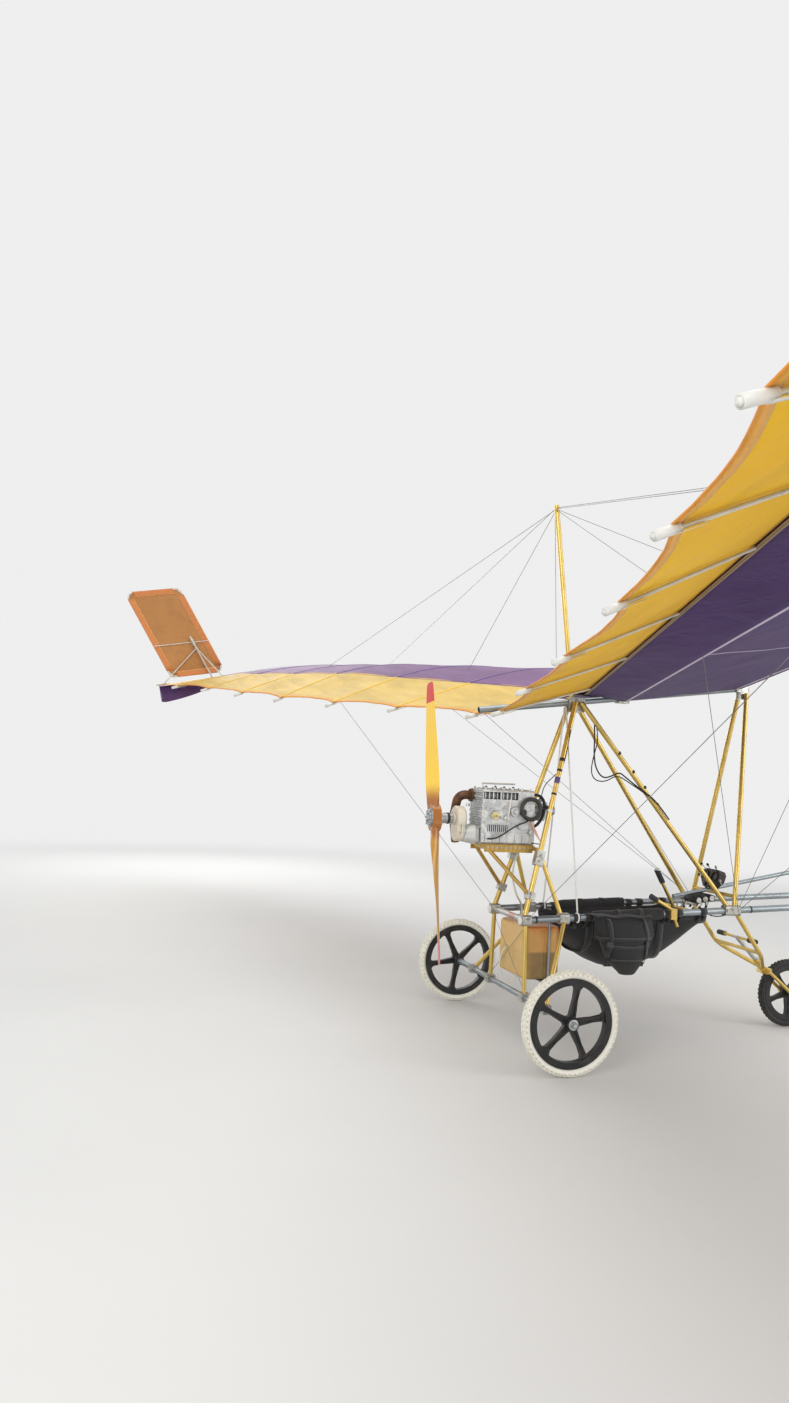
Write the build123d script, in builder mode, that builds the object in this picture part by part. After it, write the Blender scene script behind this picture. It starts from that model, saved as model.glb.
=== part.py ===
"""Microlight aircraft: high wing with tip rudders, canard nose, pusher propeller, three wheels.

Millimetres. +X points forward, +Y to port, +Z up. The origin lies on the floor, on the centre
line, half way between the tip rudders' rear corners and the canard's leading edge.
"""

import os
from math import atan2, ceil, cos, degrees, hypot, pi, radians, sin, sqrt, tan

from build123d import *

# Fits
FIT = 0.3             # between pieces that are bolted or slid together
RUNNING_FIT = 0.05    # radial, at an axle, stem, shaft or hinge

# Main wheels: forward positions are measured from the main axle
WHEEL_RADIUS = 254.0
TYRE_WIDTH = 54.0
HALF_TRACK = 780.0
AXLE_DIAMETER = 32.0
STUB_DIAMETER = 20.0

# Nose wheel
NOSE_WHEEL_RADIUS = 201.0
NOSE_TYRE_WIDTH = 46.0
NOSE_AXLE_FORWARD = 1845.0
NOSE_PIN_DIAMETER = 12.0
STEERING_RAKE = 45.0
FORK_OFFSET = 23.0

# Longerons, keel and cabane tubes
LONGERON_DIAMETER = 38.0
LONGERON_Y = 216.0
LONGERON_TAIL = (-15.0, 655.0)      # forward, height
LONGERON_NODE = (1302.0, 722.0)
LONGERON_NOSE_FORWARD = 3090.0
KEEL_DIAMETER = 38.0
KEEL_TAIL = (-241.0, 1782.0)
KEEL_NOSE = (1500.0, 2031.0)
APEX_FORWARD = 350.0
CABANE_DIAMETER = 28.0
STRUT_DIAMETER = 22.0
PLATE = 4.0

# Wing: straight spars, given at the centre line and at the tip
HALF_SPAN = 5000.0
ROOT_GAP = 30.0                      # from the centre line to each sail's root edge
SPAR_DIAMETER = 50.0
SPAR_WALL = 2.0
FRONT_SPAR = ((1440.0, 2045.0), (-10.0, 2400.0))
REAR_SPAR = ((650.0, 1915.0), (-900.0, 2255.0))
SKIN = 2.0
SLEEVE_FIT = 1.6                     # between a swept spar and the sail round it
SEAM_SLOT = 16.0                     # the batten pocket between the two skins at the seam
WING_STATIONS = [
    # span, arch of the upper skin, seam behind rear spar, seam above it, tail behind seam, tail drop
    (ROOT_GAP, 80.0, 241.0, -5.0, 550.0, 149.0),
    (2500.0, 74.0, 235.0, 55.0, 455.0, 215.0),
    (4300.0, 60.0, 337.0, 11.0, 440.0, 126.0),
    (HALF_SPAN, 12.0, 400.0, -62.0, 395.0, 68.0),
]
BATTEN_SPANS = [194.0, 1039.0, 1879.0, 2702.0, 3337.0, 3947.0, 4560.0]
BATTEN_DIAMETER = 12.0
BATTEN_CAP_DIAMETER = 20.0
BATTEN_OVERHANG = 45.0
SCALLOP = 48.0

# Tip rudders, in side view
RUDDER_PIVOT = (-1387.0, 2579.0)
RUDDER_SPAN = 935.0
RUDDER_RAKE = 32.0                   # leans back from upright
RUDDER_CHORD = 530.0
RUDDER_DROOP = 11.0                  # chord runs down to the rear
RUDDER_BALANCE = 149.0               # chord ahead of the hinge
RUDDER_FOOT = 344.0                  # span below the pivot
RUDDER_TUBE = 16.0
RUDDER_CORNER = 55.0
RUDDER_POST_DIAMETER = 16.0
CROSS_TUBE = 10.0
HINGE_COLLARS = (-28.0, 28.0)
BRACE_COLLAR = -84.0
TIP_TUBE = 20.0

# Canard
CANARD_HALF_SPAN = 1200.0
CANARD_CHORD = 520.0
CANARD_DEPTH = 36.0
CANARD_HINGE_FORWARD = 3190.0
CANARD_HINGE_HEIGHT = 1186.0
CANARD_HINGE_CHORD = 150.0           # leading edge to hinge
CANARD_TUBE = 22.0

# Propeller and engine
PROPELLER_RADIUS = 780.0
PROPELLER_TILT = 14.2
PROPELLER_HUB = (-470.0, 1175.0)
HUB_THICKNESS = 48.0
HUB_PLATE_DIAMETER = 100.0
ENGINE_REAR = -230.0
ENGINE_FRONT = 84.0
ENGINE_HALF_WIDTH = 96.0
ENGINE_SUMP = 1046.0                 # height of its underside
HEAD_JOINT = 1262.0
HEAD_TOP = 1346.0
TRAY_THICKNESS = 6.0

# Kingpost
KINGPOST_FORWARD = 330.0
KINGPOST_TOP = (180.0, 2996.0)
STAY_DIAMETER = 3.0

SIDES = {"left": 1, "right": -1}


def blend(first, last, share):
    """The value or point that lies the given share of the way from first to last."""
    if isinstance(first, tuple):
        return tuple(a + (b - a) * share for a, b in zip(first, last))
    return first + (last - first) * share


def height_on(tail, nose, forward):
    """Height of a straight tube in side view, at a forward position."""
    return blend(tail[1], nose[1], (forward - tail[0]) / (nose[0] - tail[0]))


def spar_at(spar, span):
    """Side-view centre of a spar at a distance from the centre line."""
    return blend(spar[0], spar[1], span / HALF_SPAN)


def station_at(span):
    """The wing's table worked out for any distance from the centre line."""
    for inner, outer in zip(WING_STATIONS, WING_STATIONS[1:]):
        if span <= outer[0]:
            return blend(inner, outer, (span - inner[0]) / (outer[0] - inner[0]))
    return WING_STATIONS[-1]


def seam_at(span):
    """Side-view place of the lower skin's rear edge."""
    _, _, back, rise, _, _ = station_at(span)
    spar_x, spar_z = spar_at(REAR_SPAR, span)
    return spar_x - back, spar_z + rise


def tail_at(span):
    """Side-view place of the sail's trailing edge."""
    _, _, _, _, back, drop = station_at(span)
    seam_x, seam_z = seam_at(span)
    return seam_x - back, seam_z - drop


# Where the canard and the rudders reach, which sets the origin
RAKE_RUN = sin(radians(RUDDER_RAKE))
RAKE_RISE = cos(radians(RUDDER_RAKE))
CHORD_RUN = cos(radians(RUDDER_DROOP))
CHORD_FALL = sin(radians(RUDDER_DROOP))


def rudder_point(behind, above):
    """Side-view point on the tip rudder: chord behind the hinge line, span above the pivot."""
    return (
        RUDDER_PIVOT[0] - behind * CHORD_RUN - above * RAKE_RUN,
        RUDDER_PIVOT[1] - behind * CHORD_FALL + above * RAKE_RISE,
    )


RUDDER_REAR = RUDDER_CHORD - RUDDER_BALANCE
RUDDER_TOP = RUDDER_SPAN - RUDDER_FOOT
REAR_CORNER = rudder_point(RUDDER_REAR, RUDDER_TOP)
TOP_ANGLE = radians(90 - RUDDER_DROOP + RUDDER_RAKE)     # between the top tube and the rear tube
CORNER_RUN = RUDDER_CORNER / tan(TOP_ANGLE / 2)
CORNER_CENTRE = rudder_point(
    RUDDER_REAR - CORNER_RUN, RUDDER_TOP - CORNER_RUN
)
TAIL_REACH = -CORNER_CENTRE[0] + RUDDER_CORNER + RUDDER_TUBE / 2
NOSE_REACH = CANARD_HINGE_FORWARD + CANARD_HINGE_CHORD
AXLE_X = (TAIL_REACH - NOSE_REACH) / 2


def at(forward, left, up):
    """A point given forward of the main axle, to port of the centre line and above the floor."""
    return Vector(AXLE_X + forward, left, up)


def add_tube(start, end, diameter, bore=0.0):
    """Adds a straight tube, or a rod where the bore is nothing, to the piece being built."""
    run = end - start
    with Locations(Plane(origin=start, z_dir=run)):
        Cylinder(diameter / 2, run.length, align=(Align.CENTER, Align.CENTER, Align.MIN))
        if bore:
            Cylinder(
                bore / 2, run.length, align=(Align.CENTER, Align.CENTER, Align.MIN),
                mode=Mode.SUBTRACT,
            )


def clear_box(centre, length, width, height):
    """Cuts away the room that a block needs, with its fit."""
    with Locations(centre):
        Box(length + 2 * FIT, width + 2 * FIT, height + 2 * FIT, mode=Mode.SUBTRACT)


def clear_rod(start, end, diameter, fit=FIT):
    """Cuts away the room that a round tube needs, with its fit."""
    run = end - start
    with Locations(Plane(origin=start, z_dir=run)):
        Cylinder(
            diameter / 2 + fit, run.length, align=(Align.CENTER, Align.CENTER, Align.MIN),
            mode=Mode.SUBTRACT,
        )


pieces = {}


def keep(name, piece):
    """Stores a finished piece under its node name."""
    piece.label = name
    pieces[name] = piece


# Points of the frame that several pieces share
def longeron_height(forward):
    """Height of the longerons' centre line."""
    return height_on(LONGERON_TAIL, LONGERON_NODE, forward)


def keel_height(forward):
    """Height of the keel tube's centre line."""
    return height_on(KEEL_TAIL, KEEL_NOSE, forward)


SADDLE_HEIGHT = LONGERON_DIAMETER + 20
SADDLE_WIDTH = LONGERON_DIAMETER + 12
SADDLES = [
    # forward, length along the longeron
    (LONGERON_TAIL[0] + 14, 52.0),
    (222.0, 56.0),
    (LONGERON_NODE[0] - 22, 100.0),
    (LONGERON_NOSE_FORWARD - 30, 56.0),
]
CABANE_Y = KEEL_DIAMETER / 2 + FIT + PLATE + FIT + CABANE_DIAMETER / 2
FRONT_TOP_FORWARD = 1468.0
FRONT_TOP_DROP = 34.0


def cabane_foot(forward, side):
    """Where a cabane tube's centre line meets the longeron's."""
    return at(forward, side * LONGERON_Y, longeron_height(forward))


def apex(offset, side):
    """Top end of a cabane tube at the keel's apex bracket."""
    return at(APEX_FORWARD + offset, side * CABANE_Y, keel_height(APEX_FORWARD) - 4)


def front_top(side):
    """Top end of a front upright, under the sail's nose."""
    return at(
        FRONT_TOP_FORWARD, side * CABANE_Y, keel_height(FRONT_TOP_FORWARD) - FRONT_TOP_DROP
    )


REAR_FOOT = LONGERON_TAIL[0] + 6
STRUT_FOOT = LONGERON_NODE[0] - 30


def on_upright(height, side):
    """Point of a rear upright's centre line at a height."""
    top, foot = apex(-16, side), cabane_foot(REAR_FOOT, side)
    share = (top.Z - height) / (top.Z - foot.Z)
    return top + (foot - top) * share


# Longerons: two straight tubes from the tail to the canard
with BuildPart() as longerons:
    for side in SIDES.values():
        add_tube(
            at(LONGERON_TAIL[0] - 12, side * LONGERON_Y, longeron_height(LONGERON_TAIL[0] - 12)),
            at(LONGERON_NOSE_FORWARD, side * LONGERON_Y, longeron_height(LONGERON_NOSE_FORWARD)),
            LONGERON_DIAMETER,
            LONGERON_DIAMETER - 4,
        )
keep("longerons", longerons.part)

# Saddle blocks: each clasps a longeron where the other tubes bolt on
with BuildPart() as saddles:
    for forward, length in SADDLES:
        for side in SIDES.values():
            with BuildSketch(Plane(
                origin=cabane_foot(forward, side) - Vector(length / 2, 0, 0), x_dir=(0, 1, 0),
                z_dir=(1, 0, 0),
            )):
                RectangleRounded(SADDLE_WIDTH, SADDLE_HEIGHT, 14)
            extrude(amount=length)
    for side in SIDES.values():
        clear_rod(
            at(-100, side * LONGERON_Y, longeron_height(-100)),
            at(LONGERON_NOSE_FORWARD + 90, side * LONGERON_Y,
               longeron_height(LONGERON_NOSE_FORWARD + 90)),
            LONGERON_DIAMETER,
        )


def clear_saddles():
    """Cuts the saddle blocks' room out of tubes that end on them."""
    for forward, length in SADDLES:
        for side in SIDES.values():
            clear_box(cabane_foot(forward, side), length, SADDLE_WIDTH, SADDLE_HEIGHT)


# Keel: the tube that carries the wing, and its brackets
with BuildPart() as keel:
    add_tube(at(KEEL_TAIL[0], 0, KEEL_TAIL[1]), at(KEEL_NOSE[0], 0, KEEL_NOSE[1]), KEEL_DIAMETER,
             KEEL_DIAMETER - 4)
keep("keel_tube", keel.part)

APEX_PLATE = (104.0, 84.0)
FRONT_PLATE = (58.0, 92.0)
with BuildPart() as keel_brackets:
    for forward, drop, (length, height) in [
        (APEX_FORWARD, 16, APEX_PLATE), (FRONT_TOP_FORWARD, 24, FRONT_PLATE),
    ]:
        for side in SIDES.values():
            plate_y = side * (KEEL_DIAMETER / 2 + FIT + PLATE / 2)
            with BuildSketch(Plane(
                origin=at(forward, plate_y + PLATE / 2, keel_height(forward) - drop),
                x_dir=(1, 0, 0), z_dir=(0, -1, 0),
            )):
                RectangleRounded(length, height, 12)
            extrude(amount=PLATE)
    for spar in (FRONT_SPAR, REAR_SPAR):
        root_x, root_z = spar[0]
        with Locations(at(root_x, 0, (root_z + keel_height(root_x)) / 2)):
            Box(64, 2 * (ROOT_GAP - 1), 66)
        for side in SIDES.values():
            (inner_x, inner_z), (outer_x, outer_z) = spar_at(spar, 22.0), spar_at(spar, 110.0)
            add_tube(at(inner_x, side * 22, inner_z), at(outer_x, side * 110, outer_z),
                     SPAR_DIAMETER - 2 * SPAR_WALL - 2 * FIT)
    clear_rod(at(KEEL_TAIL[0], 0, KEEL_TAIL[1]), at(KEEL_NOSE[0], 0, KEEL_NOSE[1]),
              KEEL_DIAMETER)

# Rear uprights: from the apex to the longerons' tail ends
ENGINE_CROSS = 985.0
with BuildPart() as rear_uprights:
    for side in SIDES.values():
        add_tube(apex(-16, side), cabane_foot(REAR_FOOT, side), CABANE_DIAMETER)
    clear_saddles()

# Forward struts: from the apex down to the front nodes
with BuildPart() as forward_struts:
    for side in SIDES.values():
        add_tube(apex(20, side), cabane_foot(STRUT_FOOT, side), CABANE_DIAMETER)
    clear_saddles()

# Front uprights: from the front nodes to the keel's nose
with BuildPart() as front_uprights:
    for side in SIDES.values():
        add_tube(front_top(side), cabane_foot(LONGERON_NODE[0], side), CABANE_DIAMETER)
    clear_saddles()
with BuildPart() as front_cabane:
    add(front_uprights.part)
    add(forward_struts.part)
keep("front_uprights", front_cabane.part)

# Upright clamps: blocks on the rear uprights that carry the engine and the forward legs
ENGINE_STRUT_FOOT = 784.0
UPRIGHT_CLAMPS = [
    # height, length along the upright
    (ENGINE_CROSS, 84.0),
    (ENGINE_STRUT_FOOT, 42.0),
]
CLAMP_WIDTH = CABANE_DIAMETER + 12


def clamp_plane(height, side):
    """Plane across a rear upright at a height."""
    return Plane(
        origin=on_upright(height, side), x_dir=(0, 1, 0),
        z_dir=apex(-16, side) - cabane_foot(REAR_FOOT, side),
    )


with BuildPart() as upright_clamps:
    for side in SIDES.values():
        for height, depth in UPRIGHT_CLAMPS:
            with Locations(clamp_plane(height, side)):
                Box(CLAMP_WIDTH, CLAMP_WIDTH + 8, depth)
        clear_rod(apex(-16, side), cabane_foot(REAR_FOOT, side), CABANE_DIAMETER)


def clear_clamps():
    """Cuts the upright clamps' room out of tubes that end on them."""
    for side in SIDES.values():
        for height, depth in UPRIGHT_CLAMPS:
            clear_box(clamp_plane(height, side), CLAMP_WIDTH, CLAMP_WIDTH + 8, depth)


# Forward legs: from the upper clamps to the longerons
with BuildPart() as forward_legs:
    for side in SIDES.values():
        add_tube(
            on_upright(ENGINE_CROSS, side) + Vector(16, 0, 0), cabane_foot(214.0, side),
            CABANE_DIAMETER - 4,
        )
    clear_clamps()
    clear_saddles()
with BuildPart() as rear_cabane:
    add(rear_uprights.part)
    add(forward_legs.part)
keep("rear_uprights", rear_cabane.part)

# Cross tubes: between the longerons at the tail and the nose, and between the front uprights
BOOM_DIAMETER = 25.0
BOOM_TAIL = (1034.0, 768.5)
BOOM_NOSE = (CANARD_HINGE_FORWARD, CANARD_HINGE_HEIGHT)
BOOM_REST = 1312.0
BOOM_REST_HEIGHT = (
    height_on(BOOM_TAIL, BOOM_NOSE, BOOM_REST) - BOOM_DIAMETER / 2 - STRUT_DIAMETER / 2 - 1
)


def on_front_upright(height, side):
    """Point of a front upright's centre line at a height."""
    top, foot = front_top(side), cabane_foot(LONGERON_NODE[0], side)
    return top + (foot - top) * ((top.Z - height) / (top.Z - foot.Z))


TAIL_CROSS_DIAMETER = 32.0
with BuildPart() as cross_tubes:
    for forward, diameter in (
        (LONGERON_TAIL[0] + 14, TAIL_CROSS_DIAMETER), (LONGERON_NOSE_FORWARD - 30, STRUT_DIAMETER),
    ):
        add_tube(cabane_foot(forward, 1), cabane_foot(forward, -1), diameter)
    add_tube(
        on_front_upright(BOOM_REST_HEIGHT, 1), on_front_upright(BOOM_REST_HEIGHT, -1),
        STRUT_DIAMETER,
    )
    clear_saddles()
    for side in SIDES.values():
        clear_rod(front_top(side), cabane_foot(LONGERON_NODE[0], side), CABANE_DIAMETER)
keep("cross_tubes", cross_tubes.part)

# Main axle: one tube between the wheels, with a stub, a washer and a nut at each end
HUB_HALF = 36.0
AXLE_END = HALF_TRACK - HUB_HALF - 1
NUT_RADIUS = 17.0
with BuildPart() as axle:
    add_tube(at(0, -AXLE_END, WHEEL_RADIUS), at(0, AXLE_END, WHEEL_RADIUS), AXLE_DIAMETER,
             AXLE_DIAMETER - 6)
    stub_end = HALF_TRACK + HUB_HALF + 18
    for side in SIDES.values():
        add_tube(at(0, side * (AXLE_END - 60), WHEEL_RADIUS), at(0, side * AXLE_END, WHEEL_RADIUS),
                 AXLE_DIAMETER - 5)
        add_tube(at(0, side * (AXLE_END - 60), WHEEL_RADIUS), at(0, side * stub_end, WHEEL_RADIUS),
                 STUB_DIAMETER)
        nut_start = side * (HALF_TRACK + HUB_HALF + 1)
        add_tube(
            at(0, nut_start, WHEEL_RADIUS), at(0, nut_start + side * 12, WHEEL_RADIUS),
            2 * NUT_RADIUS,
        )
keep("main_axle", axle.part)

# Axle clamps and gear legs: upright tubes and splayed braces from longeron to axle
LEG_FOOT_Y = 236.0
BRACE_FOOT_Y = 500.0
AXLE_CLAMP = 46.0
with BuildPart() as axle_clamps:
    for side in SIDES.values():
        for foot_y in (LEG_FOOT_Y, BRACE_FOOT_Y):
            with Locations(at(0, side * foot_y, WHEEL_RADIUS)):
                Box(AXLE_CLAMP, AXLE_CLAMP + 6, AXLE_CLAMP)
    clear_rod(at(0, -AXLE_END, WHEEL_RADIUS), at(0, AXLE_END, WHEEL_RADIUS), AXLE_DIAMETER)
with BuildPart() as frame_brackets:
    for brackets in (saddles, keel_brackets, upright_clamps, axle_clamps):
        add(brackets.part)
keep("frame_brackets", frame_brackets.part)

with BuildPart() as gear_legs:
    for side in SIDES.values():
        add_tube(
            cabane_foot(LONGERON_TAIL[0] + 14, side), at(0, side * LEG_FOOT_Y, WHEEL_RADIUS),
            STRUT_DIAMETER + 2,
        )
        add_tube(
            cabane_foot(232.0, side), at(0, side * BRACE_FOOT_Y, WHEEL_RADIUS),
            STRUT_DIAMETER + 2,
        )
        for foot_y in (LEG_FOOT_Y, BRACE_FOOT_Y):
            clear_box(at(0, side * foot_y, WHEEL_RADIUS), AXLE_CLAMP, AXLE_CLAMP + 6, AXLE_CLAMP)
    clear_saddles()
keep("gear_legs", gear_legs.part)

# Engine mount: a tray on two cross members, the rear one held by struts from the lower clamps
TRAY_REAR = ENGINE_REAR
TRAY_FRONT = ENGINE_FRONT + 8
TRAY_TOP = ENGINE_SUMP - FIT
TRAY_HALF_WIDTH = ENGINE_HALF_WIDTH + 8
TRAY_LIP = (4.0, 40.0)        # thickness and depth of its ribbed side walls
TRAY_RIBS = 11
REAR_MEMBER = TRAY_REAR + 38
MEMBER_HEIGHT = TRAY_TOP - TRAY_THICKNESS - STRUT_DIAMETER / 2 + 1
FRONT_MEMBER = TRAY_FRONT - 14
with BuildPart() as engine_mount:
    with BuildSketch(Plane.XY.offset(TRAY_TOP - TRAY_THICKNESS)):
        with Locations(((AXLE_X + (TRAY_REAR + TRAY_FRONT) / 2), 0)):
            RectangleRounded(TRAY_FRONT - TRAY_REAR, 2 * TRAY_HALF_WIDTH, 14)
            Rectangle(TRAY_FRONT - TRAY_REAR - 110, 90, mode=Mode.SUBTRACT)
    extrude(amount=TRAY_THICKNESS)
    rib_pitch = (TRAY_FRONT - TRAY_REAR - 52) / (TRAY_RIBS - 1)
    for side in SIDES.values():
        lip_y = side * (TRAY_HALF_WIDTH - TRAY_LIP[0] / 2)
        with Locations(at((TRAY_REAR + TRAY_FRONT) / 2, lip_y, TRAY_TOP - TRAY_LIP[1] / 2)):
            Box(TRAY_FRONT - TRAY_REAR - 36, TRAY_LIP[0], TRAY_LIP[1])
        for rib in range(TRAY_RIBS):
            with Locations(at(TRAY_REAR + 26 + rib * rib_pitch, lip_y + side * 3,
                              TRAY_TOP - TRAY_LIP[1] / 2)):
                Box(6, 5, TRAY_LIP[1] - 8)
        add_tube(
            at(REAR_MEMBER, side * (TRAY_HALF_WIDTH - 18), MEMBER_HEIGHT),
            on_upright(ENGINE_STRUT_FOOT, side),
            STRUT_DIAMETER,
        )
    for forward, reach in (
        (REAR_MEMBER, TRAY_HALF_WIDTH - TRAY_LIP[0] / 2),
        (FRONT_MEMBER, on_upright(MEMBER_HEIGHT, 1).Y + 8),
    ):
        add_tube(at(forward, -reach, MEMBER_HEIGHT), at(forward, reach, MEMBER_HEIGHT),
                 STRUT_DIAMETER)
    clear_clamps()
    for side in SIDES.values():
        clear_rod(apex(-16, side), cabane_foot(REAR_FOOT, side), CABANE_DIAMETER)
keep("engine_mount", engine_mount.part)

# Crankcase and cylinder block, with cooling fins on the block
ENGINE_LENGTH = ENGINE_FRONT - ENGINE_REAR
ENGINE_MIDDLE = (ENGINE_FRONT + ENGINE_REAR) / 2
CASE_JOINT = 1104.0
BLOCK_HALF_WIDTH = ENGINE_HALF_WIDTH - 4
HEAD_FRONT = ENGINE_FRONT - 8
FIN_COUNT = 10
FIN_POCKET = (36.0, 120.0, 38.0, 14.0)   # from the rear, length, height, depth
SIDE_BOSSES = [
    # forward, height, radius, reach out of the side
    (-156.0, 1203.0, 21.0, 16.0),
    (-156.0, 1203.0, 11.0, 30.0),
    (-86.0, 1192.0, 15.0, 12.0),
    (-38.0, 1227.0, 25.0, 12.0),
    (-200.0, 1241.0, 9.0, 9.0),
    (62.0, 1118.0, 14.0, 12.0),
]


def near_plane(forward, height, half_width):
    """Plane on the engine's starboard side, facing out."""
    return Plane(origin=at(forward, -half_width, height), x_dir=(1, 0, 0), z_dir=(0, -1, 0))


with BuildPart() as engine_block:
    with BuildSketch(Plane(origin=at(ENGINE_REAR, 0, 0), x_dir=(0, 1, 0), z_dir=(1, 0, 0))):
        Polygon(
            (-ENGINE_HALF_WIDTH + 14, ENGINE_SUMP), (ENGINE_HALF_WIDTH - 14, ENGINE_SUMP),
            (ENGINE_HALF_WIDTH, ENGINE_SUMP + 12), (ENGINE_HALF_WIDTH, CASE_JOINT),
            (BLOCK_HALF_WIDTH, CASE_JOINT + 6), (BLOCK_HALF_WIDTH, HEAD_JOINT),
            (-BLOCK_HALF_WIDTH, HEAD_JOINT), (-BLOCK_HALF_WIDTH, CASE_JOINT + 6),
            (-ENGINE_HALF_WIDTH, CASE_JOINT), (-ENGINE_HALF_WIDTH, ENGINE_SUMP + 12),
            align=None,
        )
    extrude(amount=ENGINE_LENGTH)
    pocket_rear, pocket_length, pocket_height, pocket_depth = FIN_POCKET
    fin_pitch = pocket_length / FIN_COUNT
    for side in SIDES.values():
        pocket_middle = at(
            ENGINE_REAR + pocket_rear + pocket_length / 2, side * (BLOCK_HALF_WIDTH + 4),
            CASE_JOINT + 12 + pocket_height / 2,
        )
        with Locations(pocket_middle):
            Box(pocket_length, 2 * (pocket_depth + 4), pocket_height, mode=Mode.SUBTRACT)
        for fin in range(FIN_COUNT):
            with Locations(pocket_middle + Vector(
                (fin + 0.5) * fin_pitch - pocket_length / 2, -side * (4 + pocket_depth / 2), 0,
            )):
                Box(fin_pitch / 2, pocket_depth + 2, pocket_height)
    for rib in range(7):
        with Locations(at(ENGINE_REAR + 24 + rib * 44, 0, (ENGINE_SUMP + CASE_JOINT) / 2 + 4)):
            Box(7, 2 * ENGINE_HALF_WIDTH + 8, CASE_JOINT - ENGINE_SUMP - 16)
    for height in (HEAD_JOINT - 26, CASE_JOINT + 4):
        with Locations(at(ENGINE_MIDDLE, 0, height)):
            Box(ENGINE_LENGTH, 2 * BLOCK_HALF_WIDTH + 6, 6)
    for forward, height, radius, reach in SIDE_BOSSES:
        with Locations(near_plane(forward, height, BLOCK_HALF_WIDTH)):
            Cylinder(radius, reach, align=(Align.CENTER, Align.CENTER, Align.MIN))
    with BuildSketch(near_plane(14, 1149, BLOCK_HALF_WIDTH)) as oval:
        SlotOverall(58, 34)
    extrude(oval.sketch, amount=11)
    for height in (1140.0, 1168.0, 1196.0, 1224.0, 1250.0):
        with Locations(at(ENGINE_REAR - 2, 0, height)):
            Box(10, 2 * BLOCK_HALF_WIDTH - 10, 9)
keep("engine_block", engine_block.part)

# Cylinder head: valve cover, plug recesses, intake and exhaust flanges
HEAD_HALF_WIDTH = ENGINE_HALF_WIDTH - 2
HEAD_WINDOWS = (-174.5, -68.0)           # middles of the two windows in its near side
WINDOW = (98.0, 40.0, 24.0)              # length, height, depth
HEAD_STUDS = 6
with BuildPart() as cylinder_head:
    with BuildSketch(Plane(origin=at(ENGINE_REAR, 0, 0), x_dir=(0, 1, 0), z_dir=(1, 0, 0))):
        Polygon(
            (-HEAD_HALF_WIDTH, HEAD_JOINT + FIT), (HEAD_HALF_WIDTH, HEAD_JOINT + FIT),
            (HEAD_HALF_WIDTH, HEAD_TOP - 8), (HEAD_HALF_WIDTH - 8, HEAD_TOP),
            (-HEAD_HALF_WIDTH + 8, HEAD_TOP), (-HEAD_HALF_WIDTH, HEAD_TOP - 8), align=None,
        )
    extrude(amount=HEAD_FRONT - ENGINE_REAR)
    for forward in HEAD_WINDOWS:
        with Locations(at(forward, -HEAD_HALF_WIDTH, HEAD_TOP - 34)):
            Box(WINDOW[0], 2 * WINDOW[2], WINDOW[1], mode=Mode.SUBTRACT)
        for slat in range(4):
            with Locations(at(forward + (slat - 1.5) * 24, -HEAD_HALF_WIDTH + WINDOW[2] - 5,
                              HEAD_TOP - 34)):
                Box(8, 12, WINDOW[1])
    with Locations(at((ENGINE_REAR + HEAD_FRONT) / 2, 0, HEAD_JOINT + 5 + FIT)):
        Box(HEAD_FRONT - ENGINE_REAR, 2 * HEAD_HALF_WIDTH + 8, 10)
    stud_pitch = (HEAD_FRONT - ENGINE_REAR - 40) / (HEAD_STUDS - 1)
    for side in SIDES.values():
        for stud in range(HEAD_STUDS):
            foot = at(ENGINE_REAR + 20 + stud * stud_pitch, side * (HEAD_HALF_WIDTH - 10),
                      HEAD_TOP - 2)
            add_tube(foot, foot + Vector(0, 0, 13), 11)
    for rib in range(7):
        with Locations(at(ENGINE_REAR + 30 + rib * 42, 0, HEAD_TOP + 2)):
            Box(7, 2 * HEAD_HALF_WIDTH - 60, 6)
    for height in (1278.0, 1304.0, 1330.0):
        with Locations(at(ENGINE_REAR - 2, 0, height)):
            Box(10, 2 * HEAD_HALF_WIDTH - 14, 9)
keep("cylinder_head", cylinder_head.part)

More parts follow.
